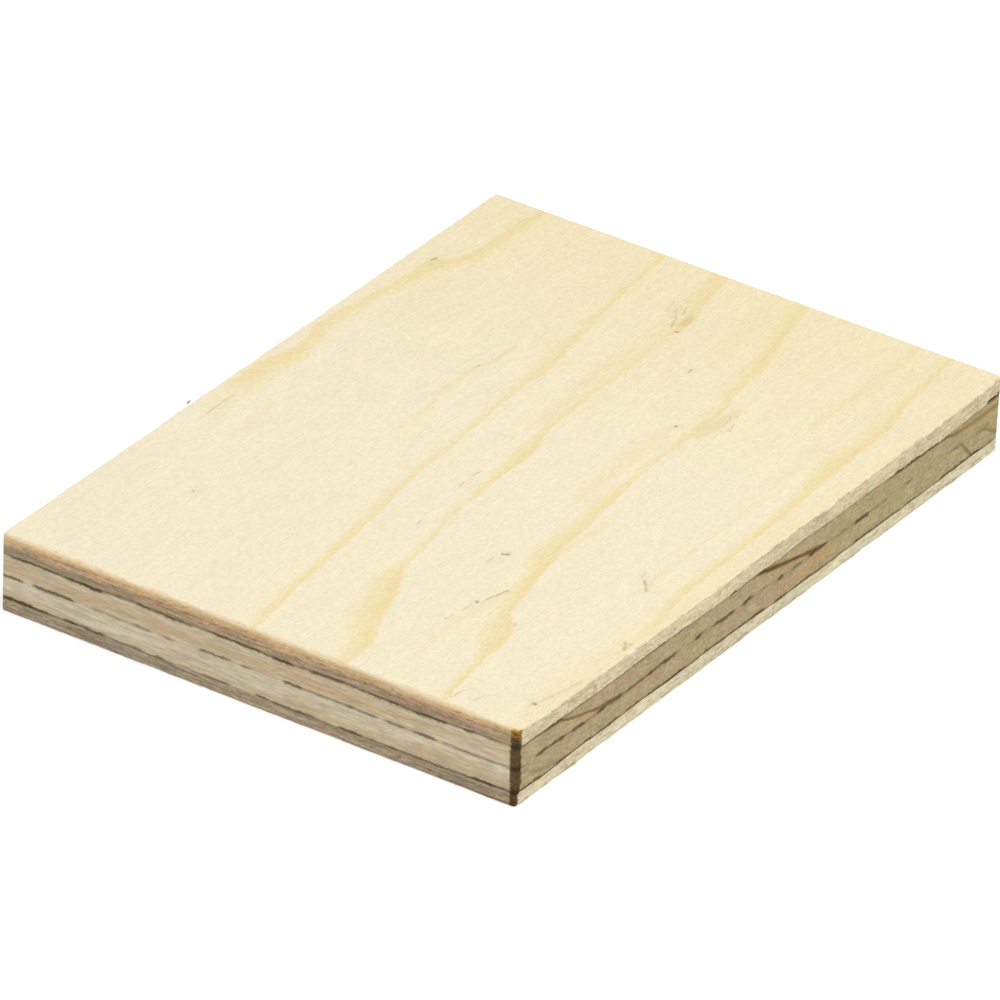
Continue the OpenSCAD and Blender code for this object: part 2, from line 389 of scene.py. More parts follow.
def length(name, description, millimetres):
    """Property for a length, written in millimetres and kept in metres."""
    return FloatProperty(
        name=name, description=description, default=millimetres * MM,
        subtype="DISTANCE", unit="LENGTH", precision=5,
    )


def number(name, description, value):
    """Property for a plain number."""
    return FloatProperty(name=name, description=description, default=value)


def colour(name, description, red, green, blue):
    """Property for a colour, written as sRGB counted from 0 to 255."""
    return FloatVectorProperty(
        name=name, description=description, default=tone(red, green, blue), subtype="COLOR", min=0, max=1
    )


class SheetSizes(bpy.types.PropertyGroup):
    """Sizes of what sawing, pressing and sanding leave on the veneers."""

    corner_bevel: length("Corner bevel", "Worn flat on the upright corners, along each edge", 0.3)
    edge_step: length("Edge step", "Spacing of the mesh along the sawn edges", 0.3)
    edge_lean: length("Edge lean", "How far the near long edge leans out from its foot to the face", 1.0)
    outer_step: length("Outer step", "How far the outer veneers stand out past the cores on long edges", 0.1)
    long_arris: length("Long arris", "Rounding of the face along its long edges", 0.22)
    end_arris: length("End arris", "Rounding of the face along its ends", 0.6)
    back_arris: length("Back arris", "Rounding along the edges of the back", 0.18)
    seep_width: length("Seep width", "Height over which a glue line is open at its widest", 0.22)
    seep_depth: length("Seep depth", "Depth of an open glue line where it is widest", 0.16)
    fibre_length: length("Fibre length", "Length of the torn fibres on the sawn edges", 0.9)
    fibre_width: length("Fibre width", "Thickness of a torn fibre at its root", 0.12)
    fibre_spacing: length("Fibre spacing", "Distance between torn fibres along an edge", 0.8)
    seed: IntProperty(name="Seed", description="Start of every random draw", default=17, min=0)


class SheetColours(bpy.types.PropertyGroup):
    """Colours of the wood, the resin and the marks on it."""

    earlywood: colour("Earlywood", "Pale ground of the sanded face", 245, 233, 203)
    warm_wood: colour("Warm earlywood", "Yellower ground towards the far end and near edge", 244, 229, 187)
    latewood: colour("Latewood", "Hearts of the golden bands of the sanded face", 240, 214, 157)
    late_border: colour("Latewood border", "Yellow bands of the sanded face", 243, 226, 175)
    face_cut_top: colour("Face, cut ends, top", "End grain of the face under its arris", 220, 185, 147)
    face_cut_low: colour("Face, cut ends, low", "End grain of the face above its glue line", 196, 172, 141)
    rim: colour("Rim", "Golden edge between the face and its cut ends", 250, 212, 150)
    pit: colour("Pit", "Dark torn hollows in the cut ends", 136, 108, 73)
    ember: colour("Ember", "Orange specks in the cut ends of the face", 209, 155, 101)
    olive: colour("Olive", "Grey-green wood near the far corner of the cut end", 172, 163, 134)
    face_side: colour("Face, sides", "Side grain of the face on the long edges", 247, 229, 185)
    side_shade: colour("Side shade", "Pinkish patches of the side grain", 231, 205, 170)
    # Painted shade: darker colour where the side grain's bump is hollow
    side_hollow_shade: colour("Side pit", "Darker hollows in the side grain", 199, 174, 134)
    upper_core_long: colour("Upper core, long grain", "Upper core on the sheet's ends", 232, 215, 183)
    lower_core_long: colour("Lower core, long grain", "Lower core on the sheet's ends", 236, 222, 193)
    core_streak: colour("Core, streak", "Orange streaks in the long grain of the cores", 223, 192, 149)
    core_cut: colour("Core, end grain", "Olive tan of the cores on long edges", 200, 184, 140)
    core_cut_warm: colour("Core, warm end grain", "Pinkish tan of the cores on long edges", 206, 181, 143)
    core_ring: colour("Core, ring", "Brown growth rings in the end grain of the cores", 106, 73, 19)
    core_glow: colour("Core, glow", "Golden wood beside the growth rings", 216, 174, 104)
    back_side: colour("Back, sides", "Side grain of the back on the long edges", 252, 243, 206)
    back_cut: colour("Back, cut ends", "End grain of the back", 196, 178, 151)
    back_wood: colour("Back", "Ground of the back's underside", 236, 218, 178)
    back_late: colour("Back latewood", "Bands of the back's underside", 214, 178, 118)
    # Also the colour of the painted highlight: the pale halo beside the resin lines
    nap_and_highlight: colour("Nap", "Bright torn fibres", 254, 246, 219)
    resin: colour("Resin", "Dark glue that shows in the glue lines", 78, 54, 7)
    # Painted shade: the darkness inside the void under the face near the far end, laid on the core as a
    # colour
    gap: colour("Gap", "Dark gap under the face near the far end", 65, 37, 7)
    joint_glue: colour("Joint glue", "Olive glue in the joint of the lower core", 150, 134, 62)
    corner_dark: colour("Scorch", "Burnt brown of the front corner", 102, 78, 45)
    amber: colour("Amber", "Lighter tip of the burnt corner", 152, 110, 40)
    stain: colour("Stain", "Brown marks on the face", 200, 158, 96)
    smudge: colour("Smudge", "Grey marks on the face", 206, 194, 160)
    # Painted shadow: the splinter's dark tip stands in for the shaded gap behind it
    splinter_shadow: colour("Shadow", "Dark tip of the splinter", 156, 150, 123)
    check: colour("Check", "Dark bottoms of checks and pits", 136, 124, 36)


class StudioSettings(bpy.types.PropertyGroup):
    """Camera, lamp, even light and floor."""

    azimuth: number("Azimuth", "Turn of the camera, in degrees from the near side", -56.33)
    elevation: number("Elevation", "Height of the camera, in degrees", 30.59)
    roll: number("Roll", "Roll of the camera, in degrees", 1.79)
    distance: length("Distance", "From the middle of the sheet to the camera", 2400)
    aim_right: length("Aim right", "How far the camera stands to the right of the sheet's middle", -1.0)
    aim_up: length("Aim up", "How far the camera stands above the sheet's middle, in its own frame", -1.6)
    lens: number("Lens", "Focal length, in millimetres", 502.8)
    key_power: number("Key power", "Power of the soft box overhead, in watts", 10.5)
    key_size: length("Key size", "Side of the soft box", 900)
    sky: number("Sky", "Strength of the even light from all round", 0.42)
    floor_size: length("Floor size", "Side of the floor", 12000)
    floor_glow: number("Floor glow", "White that the floor adds to the camera's view", 0.3)


def box_mm(node):
    """Lowest and highest corner of a CAD node, in millimetres."""
    return tuple(np.array(corner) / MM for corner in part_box(node))


SHEET_LOW, SHEET_HIGH = (np.array(corner) / MM for corner in CAD_BOX)
LENGTH, WIDTH, THICKNESS = SHEET_HIGH - SHEET_LOW
GLUE_HEIGHT = {
    "upper": box_mm("face_veneer")[0][2],
    "middle": box_mm("upper_core_veneer")[0][2],
    "lower": box_mm("lower_core_veneer")[0][2],
}
JOINT_TOP = box_mm("lower_core_end_strip")[0][0]
JOINT_FOOT = box_mm("lower_core_veneer")[1][0]
JOINT_MIDDLE = (JOINT_TOP + JOINT_FOOT) / 2
EDGE_LENGTH = {NEAR_LONG: LENGTH, FAR_END: WIDTH, FAR_LONG: LENGTH, NEAR_END: WIDTH}
RUNS_LONG = (NEAR_LONG, FAR_LONG)

# Rows of points up a wall and over an arris, and the materials' slots in a veneer
WALL_ROWS, ARRIS_ROWS = 15, 5
TOP_CAP, LONG_WALL, END_WALL, BOTTOM_CAP = range(4)
# Rows inside a cap: how far from its rim, and one in how many points; then the grid's inset and spacings
CAP_ROWS = ((0.6, 2), (1.5, 5), (3.2, 10))
GRID_INSET, PLAIN_GRID, FACE_GRID = 4.6, 6, 3
# Steps along a check, how far its points go past its ends, the least room between two points, and how many
# points back that room is looked for
FLAW_STEP, FLAW_END, FLAW_ROOM, FLAW_RECENT = 0.22, 0.12, 0.09, 400
# Room between the sheet and the floor, and the place of the lamp, in metres
FLOOR_GAP, LAMP_PLACE = 0.05 * MM, (-0.12, -0.3, 1.2)
# Distance from a glue line that isn't there, half the length over which a seep fades, and its least strength
FAR_OFF, SEEP_SOFTNESS, SEEP_LEAST = 99.0, 0.75, 0.04
# How far torn fibres stay away from the corners, and how deep they are rooted
FIBRE_CLEARANCE, FIBRE_ROOT = 2.5, 0.04


def smoothstep(low, high, value):
    """Eased share of the way from low to high."""
    share = np.clip((value - low) / (high - low), 0, 1)
    return share * share * (3 - 2 * share)


def smoothed(values, passes):
    """Values round a closed walk, each evened out with its neighbours."""
    for _ in range(passes):
        values = (np.roll(values, 1, axis=0) + 2 * values + np.roll(values, -1, axis=0)) / 4
    return values


def ripple(random, along, period, waves=7):
    """Gentle random waves of about the given period, mostly between -1 and 1."""
    total = np.zeros_like(along)
    for _ in range(waves):
        total += np.sin(math.tau * along / (period * random.uniform(0.6, 1.7)) + random.uniform(0, math.tau))
    return total / math.sqrt(waves)


class Walk:
    """Closed walk round the plan of a veneer: its points, outward normals, edges and places along them."""

    def __init__(self, corners, step):
        """Corners are (x, y, bevel, edge that starts there), anticlockwise."""
        points, edges, places = [], [], []
        count = len(corners)
        for i, (x, y, bevel, edge) in enumerate(corners):
            here = np.array((x, y))
            before = np.array(corners[i - 1][:2])
            after = np.array(corners[(i + 1) % count][:2])
            into = (here - before) / np.linalg.norm(here - before)
            out = (after - here) / np.linalg.norm(after - here)
            start, end = here + out * bevel, after - out * corners[(i + 1) % count][2]
            if bevel:
                turns = max(2, round(bevel * math.sqrt(2) / step))
                for share in np.arange(1, turns) / turns:
                    points.append((here - into * bevel) * (1 - share) + start * share)
                    edges.append(BEVEL)
                    places.append(share)
            steps = max(2, round(np.linalg.norm(end - start) / step))
            for share in np.arange(steps + 1) / steps:
                points.append(start * (1 - share) + end * share)
                edges.append(edge)
                places.append(edge_place(edge, points[-1]))
            if not corners[(i + 1) % count][2]:
                for kept in (points, edges, places):
                    kept.pop()
        self.points = smoothed(np.array(points), 1)
        self.edges = np.array(edges)
        self.places = np.array(places)
        ahead = np.roll(self.points, -1, axis=0) - np.roll(self.points, 1, axis=0)
        ahead /= np.linalg.norm(ahead, axis=1)[:, None]
        self.normals = np.stack((ahead[:, 1], -ahead[:, 0]), axis=1)
        sharp = np.array([corner[:2] for corner in corners])
        self.clearance = np.abs(self.points[:, None] - sharp).max(axis=2).min(axis=1)

    def __len__(self):
        return len(self.points)

    def profile(self, by_edge):
        """Value at each point by functions of the place along its edge, carried over bevels and joints."""
        values = np.full(len(self), np.nan)
        for edge, function in by_edge.items():
            on = self.edges == edge
            values[on] = function(self.places[on])
        known = ~np.isnan(values)
        order = np.arange(len(self))
        return np.interp(order, order[known], values[known], period=len(self))

    def lies_along(self):
        """True where the walk runs along the length, with each bevel shared between its two edges."""
        along = np.isin(self.edges, RUNS_LONG)
        steep = np.abs(self.normals[:, 1]) > np.abs(self.normals[:, 0])
        return np.where(self.edges == BEVEL, steep, along)


def edge_place(edge, point):
    """Distance of a point along its edge from the corner where the walk comes to it."""
    x, y = point
    return {
        NEAR_LONG: x - SHEET_LOW[0],
        FAR_END: y - SHEET_LOW[1],
        FAR_LONG: SHEET_HIGH[0] - x,
        NEAR_END: SHEET_HIGH[1] - y,
        JOINT: y - SHEET_LOW[1],
    }[edge]


def sheet_corners(bevel, low_x=None, high_x=None):
    """Corners of the sheet, or of the part of a core veneer that ends at the joint, for a walk."""
    left = SHEET_LOW[0] if low_x is None else low_x
    right = SHEET_HIGH[0] if high_x is None else high_x
    left_bevel = bevel if low_x is None else 0
    right_bevel = bevel if high_x is None else 0
    return (
        (left, SHEET_LOW[1], left_bevel, NEAR_LONG),
        (right, SHEET_LOW[1], right_bevel, FAR_END if high_x is None else JOINT),
        (right, SHEET_HIGH[1], right_bevel, FAR_LONG),
        (left, SHEET_HIGH[1], left_bevel, NEAR_END if low_x is None else JOINT),
    )


def glue_rise(line, walk, seed):
    """Height of a glue line at each point of a walk."""
    random = np.random.default_rng(seed)
    by_edge = {}
    for edge in EDGES:
        at, rise = np.array(GLUE_WAVES[line, edge], float).T
        fine = [(random.uniform(3, 9), random.uniform(0, math.tau)) for _ in range(4)]
        by_edge[edge] = lambda place, at=at, rise=rise, fine=fine: (
            np.interp(place, at, rise) + 0.02 * sum(np.sin(math.tau * place / p + f) for p, f in fine)
        )
    return GLUE_HEIGHT[line] + smoothed(walk.profile(by_edge), 5)


def glue_seep(line, walk, seed):
    """Strength of the dark resin in a glue line at each point of a walk, from 0 to 1."""
    random = np.random.default_rng(seed)
    soft = SEEP_SOFTNESS
    by_edge = {}
    for edge in EDGES:
        seeps = GLUE_SEEPS.get((line, edge))
        if seeps is None:
            seeps = scattered_seeps(random, EDGE_LENGTH[edge])

        def strength(place, seeps=seeps):
            shown = np.full_like(place, SEEP_LEAST)
            for start, end, dark in seeps:
                begun = smoothstep(start - soft, start + soft, place)
                left = smoothstep(-end - soft, -end + soft, -place)
                shown = np.maximum(shown, dark * np.minimum(begun, left))
            return shown

        by_edge[edge] = strength
    wear = np.minimum(0.92 + 0.1 * ripple(random, walk.points.sum(axis=1), 3.0), 1)
    return np.clip(smoothed(walk.profile(by_edge) * wear, 3), 0, 1)


def scattered_seeps(random, edge_length):
    """Dashes of resin for an edge that the photo doesn't show."""
    seeps, place = [], 0.0
    while place < edge_length:
        start = place + max(0, random.uniform(-3, 3))
        place = start + random.uniform(1.5, 4) * random.choice((1, 1, 3))
        seeps.append((start, place, random.choice((0.2, 0.35, 0.5, 0.65, 0.8))))
    return seeps


def corner_darkness(walk, heights):
    """How dark each wall point is: a strip on either side of the front corner, softer on the long edge."""
    wide = np.interp(heights, *np.transpose(CORNER_DARK_WIDTH))
    from_corner_long = walk.points[:, 0] - SHEET_LOW[0]
    from_corner_end = walk.points[:, 1] - SHEET_LOW[1]
    on_long = 1 - smoothstep(wide - 0.5, wide + 0.5, from_corner_long[:, None])
    deep = 1.15 + 0.35 * smoothstep(2, 10, heights)
    on_end = 1 - smoothstep(deep - 0.2, deep + 0.2, from_corner_end[:, None])
    return on_long * on_end


class Veneer(NamedTuple):
    """A veneer's node, slot and glue lines, how rough its walls are, and where it is cut short."""

    node: str
    slot: str
    below: str
    above: str
    wall_noise_long: float
    wall_noise_end: float
    low_x: float = None
    high_x: float = None


VENEERS = {
    "face": Veneer("face_veneer", "sanded_face_veneer", "upper", None, 0.04, 0.05),
    "upper_core": Veneer("upper_core_veneer", "core_veneer", "middle", "upper", 0.03, 0.02),
    "lower_core": Veneer(
        "lower_core_veneer", "core_veneer", "lower", "middle", 0.03, 0.02, high_x=JOINT_MIDDLE
    ),
    "end_strip": Veneer(
        "lower_core_end_strip", "core_veneer", "lower", "middle", 0.03, 0.02, low_x=JOINT_MIDDLE
    ),
    "back": Veneer("back_veneer", "back_veneer", None, "lower", 0.055, 0.05),
}


def keep_vectors(mesh, label, vectors):
    """Keeps a vector for each vertex of a mesh as an attribute."""
    attribute = mesh.attributes.new(label, "FLOAT_VECTOR", "POINT")
    attribute.data.foreach_set("vector", vectors.astype(np.float32).ravel())


class MeshDraft:
    """Vertices, faces and vertex values of a mesh while it is being drafted, in millimetres."""

    def __init__(self):
        self.points, self.faces, self.slots = [], [], []
        self.values = {"glue": [], "ply": [], "marks": []}
        self.count = 0

    def add_points(self, points, glue=None, ply=None, marks=None):
        """Adds points with their values, and returns the index of each."""
        points = np.asarray(points, float).reshape(-1, 3)
        first, self.count = self.count, self.count + len(points)
        self.points.append(points)
        for name, value in (("glue", glue), ("ply", ply), ("marks", marks)):
            plain = np.tile((FAR_OFF, FAR_OFF, 0.0) if name == "ply" else (0.0, 0.0, 0.0), (len(points), 1))
            self.values[name].append(plain if value is None else np.asarray(value, float).reshape(-1, 3))
        return np.arange(first, self.count)

    def add_faces(self, faces, slots):
        """Adds faces as rows of indices, with one material slot each."""
        self.faces.extend(faces.tolist())
        self.slots.append(np.broadcast_to(slots, len(faces)))

    def build(self, name, materials):
        """Makes the mesh object, in metres, with its values as attributes."""
        mesh = bpy.data.meshes.new(name)
        mesh.from_pydata(np.vstack(self.points) * MM, [], self.faces)
        for material in materials:
            mesh.materials.append(material)
        mesh.polygons.foreach_set("material_index", np.concatenate(self.slots).astype(np.int32))
        mesh.polygons.foreach_set("use_smooth", np.ones(len(mesh.polygons), bool))
        for label, parts in self.values.items():
            keep_vectors(mesh, label, np.vstack(parts))
        if mesh.validate():
            raise RuntimeError(f"the mesh of {name} had faults")
        mesh.update()
        piece = bpy.data.objects.new(name, mesh)
        bpy.context.scene.collection.objects.link(piece)
        return piece


def fill_rim(rim, inner):
    """Triangles that fill an anticlockwise rim, as rows of indices into the rim and then the inner points."""
    coords = [Vector(point) for point in np.vstack((rim, inner))]
    made = geometry.delaunay_2d_cdt(coords, [], [list(range(len(rim)))], 1, 1e-6)
    if len(made[0]) != len(coords):
        raise RuntimeError("the cap's rim crosses itself or its inner points coincide")
    sources = [origin[0] for origin in made[3]]
    return np.array([[sources[corner] for corner in face] for face in made[2]])


def graded_points(walk, rim, spacing, extra=None):
    """Inner points of a cap: rows that thin out from its rim, a grid, and extra points with room around."""
    rows = [(rim - walk.normals * depth)[::skip] for depth, skip in CAP_ROWS]
    low, high = rim.min(axis=0) + GRID_INSET, rim.max(axis=0) - GRID_INSET
    counts = np.maximum(2, np.ceil((high - low) / spacing).astype(int))
    spans = [np.linspace(*span) for span in zip(low, high, counts)]
    grid = np.stack(np.meshgrid(*spans), axis=-1).reshape(-1, 2)
    inner = np.vstack(rows[:2] + ([rows[2]] if (high - low).min() > 4 else []) + [grid])
    clear = (inner > rim.min(axis=0) + 0.3).all(axis=1) & (inner < rim.max(axis=0) - 0.3).all(axis=1)
    inner = inner[clear]
    if extra is not None:
        near = np.array([np.min(np.abs(extra - point).max(axis=1)) for point in inner])
        inner = np.vstack((inner[near > 0.45], extra))
    return np.unique(inner.round(4), axis=0)


def wall_relief(random, walk, rows, veneer):
    """Small in and out of the sawn wall: drawn out along the grain, even where the grain is cut across."""
    along = walk.lies_along()[:, None]
    rough = random.normal(size=(len(walk), rows))
    fine = smoothed(rough, 1)
    drawn = smoothed(rough, 14) * 2.4
    outer = veneer.slot != "core_veneer"
    with_grain = along if outer else ~along
    amount = np.where(along, veneer.wall_noise_long, veneer.wall_noise_end)
    return amount * np.where(with_grain, 0.6 * fine + drawn, fine)


def lay_walls(draft, walk, veneer, sizes, seed):
    """Lays the sawn walls of a veneer, and returns the indices of its lowest and highest rows."""
    random = np.random.default_rng(seed)
    calm = smoothstep(0.3, 2.0, walk.clearance) * (walk.edges != JOINT)
    arris = Arris(walk, sizes, calm, random)
    low = glue_rise(veneer.below, walk, seed) if veneer.below else SHEET_LOW[2] + arris.back
    high = glue_rise(veneer.above, walk, seed) if veneer.above else SHEET_HIGH[2] - arris.face
    share = (1 - np.cos(np.linspace(0, math.pi, WALL_ROWS))) / 2
    heights = low[:, None] + share * (high - low)[:, None]
    seep_low = glue_seep(veneer.below, walk, seed + 1) if veneer.below else np.zeros(len(walk))
    seep_high = glue_seep(veneer.above, walk, seed + 1) if veneer.above else np.zeros(len(walk))
    over, under = heights - low[:, None], high[:, None] - heights
    reach = sizes.seep_width / MM
    groove, meets = 0, 1
    for seep, gap, line in ((seep_low, over, veneer.below), (seep_high, under, veneer.above)):
        if line:
            deep = sizes.seep_depth / MM * (seep**2 + 1.2 * smoothstep(0.9, 1, seep))
            groove = groove + deep[:, None] * np.exp(-(gap / (reach * (0.5 + seep[:, None]))) ** 2)
            meets = meets * (1 - np.exp(-(gap / 0.3) ** 2))
    relief = wall_relief(random, walk, WALL_ROWS, veneer) * meets
    out = calm[:, None] * (stand_out(walk, veneer, sizes)[:, None] + relief - groove)
    flat = walk.points[:, None, :] + walk.normals[:, None, :] * out[:, :, None]
    glue = np.stack(np.broadcast_arrays(seep_high[:, None], seep_low[:, None], 0.0 * heights), axis=-1)
    under_known = under if veneer.above else np.full_like(under, FAR_OFF)
    over_known = over if veneer.below else np.full_like(over, FAR_OFF)
    corner_dark = corner_darkness(walk, heights)
    ply = np.stack((under_known, over_known, corner_dark), axis=-1)
    placed = np.dstack((flat, heights))
    rings = [draft.add_points(placed[:, row], glue[:, row], ply[:, row]) for row in range(WALL_ROWS)]
    if not veneer.above:
        rings += arris.lay(draft, flat[:, -1], arris.face, arris.face_inset, SHEET_HIGH[2], 1, corner_dark[:, -1])
    if not veneer.below:
        foot = arris.lay(draft, flat[:, 0], arris.back, arris.back_inset, SHEET_LOW[2], -1, corner_dark[:, 0])
        rings = foot[::-1] + rings
    for lower, upper in zip(rings, rings[1:]):
        quads = np.stack((lower, np.roll(lower, -1), np.roll(upper, -1), upper), axis=1)
        draft.add_faces(quads, np.where(walk.lies_along(), LONG_WALL, END_WALL))
    return rings[0], rings[-1]


def stand_out(walk, veneer, sizes):
    """How far the wall stands out past the sheet's plan along the walk."""
    step = sizes.outer_step / MM
    plain = {edge: (lambda place: 0 * place) for edge in (*EDGES, JOINT)}
    proud = {
        "face_veneer": {
            NEAR_LONG: lambda place: step * np.interp(place, *np.transpose(FACE_STEP)),
            FAR_LONG: lambda place: step + 0 * place,
        },
        "back_veneer": {edge: (lambda place: step + 0 * place) for edge in RUNS_LONG},
    }.get(veneer.node, {})
    return smoothed(walk.profile(plain | proud), 2)


class Arris:
    """The worn rims of a face and back: a radius at each point of a walk, uneven except at the corners."""

    def __init__(self, walk, sizes, calm, random):
        self.walk = walk
        along = walk.lies_along()
        ragged, wavy = (smoothed(random.normal(size=len(walk)), passes) for passes in (3, 30))
        fray = ragged * 1.1 + wavy * 2.2
        self.face_inset = np.array((sizes.end_arris, sizes.long_arris)) / MM
        self.back_inset = np.array((sizes.back_arris, sizes.back_arris)) / MM
        plain = smoothed(np.where(along, *self.face_inset[::-1]), 4)
        worn = np.where(np.isin(walk.edges, (FAR_END, FAR_LONG)), 0.1, np.where(along, 0.2, 0.4))
        self.face_extra = plain * calm * np.clip(fray, -1, 1) * worn
        self.back_extra = self.back_inset[0] * calm * np.clip(smoothed(fray, 4), -0.5, 1) * 0.8
        self.face = plain + self.face_extra
        self.back = self.back_inset[0] + self.back_extra

    def lay(self, draft, start, radius, inset, level, side, corner_dark):
        """Rounds a wall's outer rim over to the level face, up or down, and returns the new rings."""
        rings = []
        extra = self.face_extra if side > 0 else self.back_extra
        half = np.array((LENGTH, WIDTH)) / 2
        for step in range(1, ARRIS_ROWS + 1):
            turn = step / ARRIS_ROWS * math.pi / 2
            round_in = 1 - math.cos(turn)
            flat = start * (1 - round_in * inset / half) - self.walk.normals * (extra * round_in)[:, None]
            height = level - side * radius * (1 - math.sin(turn))
            left = corner_dark * (1 - step / ARRIS_ROWS)
            away = np.full(len(left), FAR_OFF)
            ply = np.stack((away, away, left), axis=1)
            rings.append(draft.add_points(np.column_stack((flat, height)), ply=ply))
        return rings


def lay_cap(draft, ring, height, slot, upward, inner, marks=None):
    """Closes a veneer at its top or bottom ring with a cap whose inner points lie at a height."""
    rim = np.vstack(draft.points)[ring][:, :2]
    placed = np.column_stack((inner, np.broadcast_to(height, len(inner))))
    indices = draft.add_points(placed, marks=marks)
    triangles = np.concatenate((ring, indices))[fill_rim(rim, inner)]
    draft.add_faces(triangles if upward else triangles[:, ::-1], slot)


def flaw_points():
    """Points that shape the checks, pits and stains of the face, as x, y, depth and marks."""
    random = np.random.default_rng(5)
    rows = []
    for flaw in FACE_FLAWS:
        line = np.array(flaw.line, float)
        runs = np.concatenate(((0,), np.cumsum(np.linalg.norm(np.diff(line, axis=0), axis=1))))
        count = max(5, int(runs[-1] / FLAW_STEP))
        at = np.linspace(-FLAW_END, runs[-1] + FLAW_END, count)
        u, v = (np.interp(at, runs, line[:, k]) for k in (0, 1))
        aim = (line[-1] - line[0]) / np.linalg.norm(line[-1] - line[0])
        sway = smoothed(random.normal(size=count), 2) * 0.08
        ends = smoothstep(0, 0.35, np.minimum(at - at[0], at[-1] - at) + 0.08)
        for offset in (-1.5, -0.75, 0, 0.75, 1.5):
            across = offset * flaw.width * (0.45 + 0.55 * ends) + sway
            fall = math.exp(-(offset * 1.1) ** 2)
            for k in range(count):
                rows.append((u[k] - aim[1] * across[k], v[k] + aim[0] * across[k],
                             flaw.depth * fall * ends[k], flaw.dark * fall * ends[k], 0, 0))
    for stain in FACE_STAINS:
        (u, v), (wide, high) = stain.middle, stain.radii
        for a in np.arange(-1.5, 1.51, 0.5 / max(wide, 1)):
            for b in np.arange(-1.5, 1.51, 0.45 / max(high, 0.45)):
                fall = math.exp(-1.6 * (a * a + b * b))
                rows.append((u + a * wide, v + b * high, 0, 0, stain.brown * fall, stain.grey * fall))
    rows = np.array(rows)
    rows[:, 0] += SHEET_LOW[0]
    rows[:, 1] = SHEET_HIGH[1] - rows[:, 1]
    inside = (np.abs(rows[:, 0]) < LENGTH / 2 - 1.6) & (np.abs(rows[:, 1]) < WIDTH / 2 - 1.4)
    rows = rows[inside]
    kept = []
    for row in rows:
        recent = kept[-FLAW_RECENT:]
        if all(max(abs(row[0] - other[0]), abs(row[1] - other[1])) > FLAW_ROOM for other in recent):
            kept.append(row)
    return np.array(kept)


def lean_at_joint(draft):
    """Leans the walls beside the lower core's joint over, as far as the solid's joint leans."""
    lean = JOINT_FOOT - JOINT_TOP
    for points in draft.points:
        share = (points[:, 2] - GLUE_HEIGHT["lower"]) / (GLUE_HEIGHT["middle"] - GLUE_HEIGHT["lower"])
        near = np.clip(1 - np.abs(points[:, 0] - JOINT_MIDDLE) / 6, 0, 1)
        points[:, 0] += lean * (0.5 - share) * near


def lean_out(points, sizes):
    """Leans the near long edge outwards towards the face, as a saw held a little aslant leaves it."""
    lean = sizes.edge_lean / MM * np.interp(points[:, 0] - SHEET_LOW[0], *np.transpose(EDGE_LEAN))
    near = 1 - smoothstep(0, 9, points[:, 1] - SHEET_LOW[1])
    points[:, 1] -= lean * near * (points[:, 2] - SHEET_LOW[2]) / THICKNESS


def make_veneer(key, materials, sizes):
    """Makes one veneer and puts it in its node's place."""
    veneer = VENEERS[key]
    draft = MeshDraft()
    walk = Walk(sheet_corners(sizes.corner_bevel / MM, veneer.low_x, veneer.high_x), sizes.edge_step / MM)
    # Veneers on both sides of a glue line draw its waves and seeps from the same seed
    bottom, top = lay_walls(draft, walk, veneer, sizes, sizes.seed)
    rim_low, rim_high = (np.vstack(draft.points)[ring][:, :2] for ring in (bottom, top))
    if veneer.above:
        inner = graded_points(walk, rim_high, PLAIN_GRID)
        lay_cap(draft, top, GLUE_HEIGHT[veneer.above], TOP_CAP, True, inner)
    else:
        carve_face(draft, walk, top, rim_high)
    floor = GLUE_HEIGHT[veneer.below] if veneer.below else SHEET_LOW[2]
    # Both caps of a core veneer have the same film of glue
    slot = TOP_CAP if veneer.above and veneer.below else BOTTOM_CAP
    lay_cap(draft, bottom, floor, slot, False, graded_points(walk, rim_low, PLAIN_GRID))
    if JOINT in walk.edges:
        lean_at_joint(draft)
    for points in draft.points:
        lean_out(points, sizes)
    piece = draft.build(veneer.node + "_dressed", materials)
    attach(piece, BODY)
    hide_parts(veneer.node)


def carve_face(draft, walk, ring, rim):
    """Closes the face with a cap that holds its checks and pits, and marks where it is dark or stained."""
    carved = flaw_points()
    inner = graded_points(walk, rim, FACE_GRID, carved[:, :2])
    known = {tuple(row[:2].round(4)): row[2:] for row in carved}
    shaped = np.array([known.get(tuple(point), (0, 0, 0, 0)) for point in inner])
    depth, marks = shaped[:, 0], shaped[:, 1:]
    lay_cap(draft, ring, SHEET_HIGH[2] - depth, TOP_CAP, True, inner, marks)


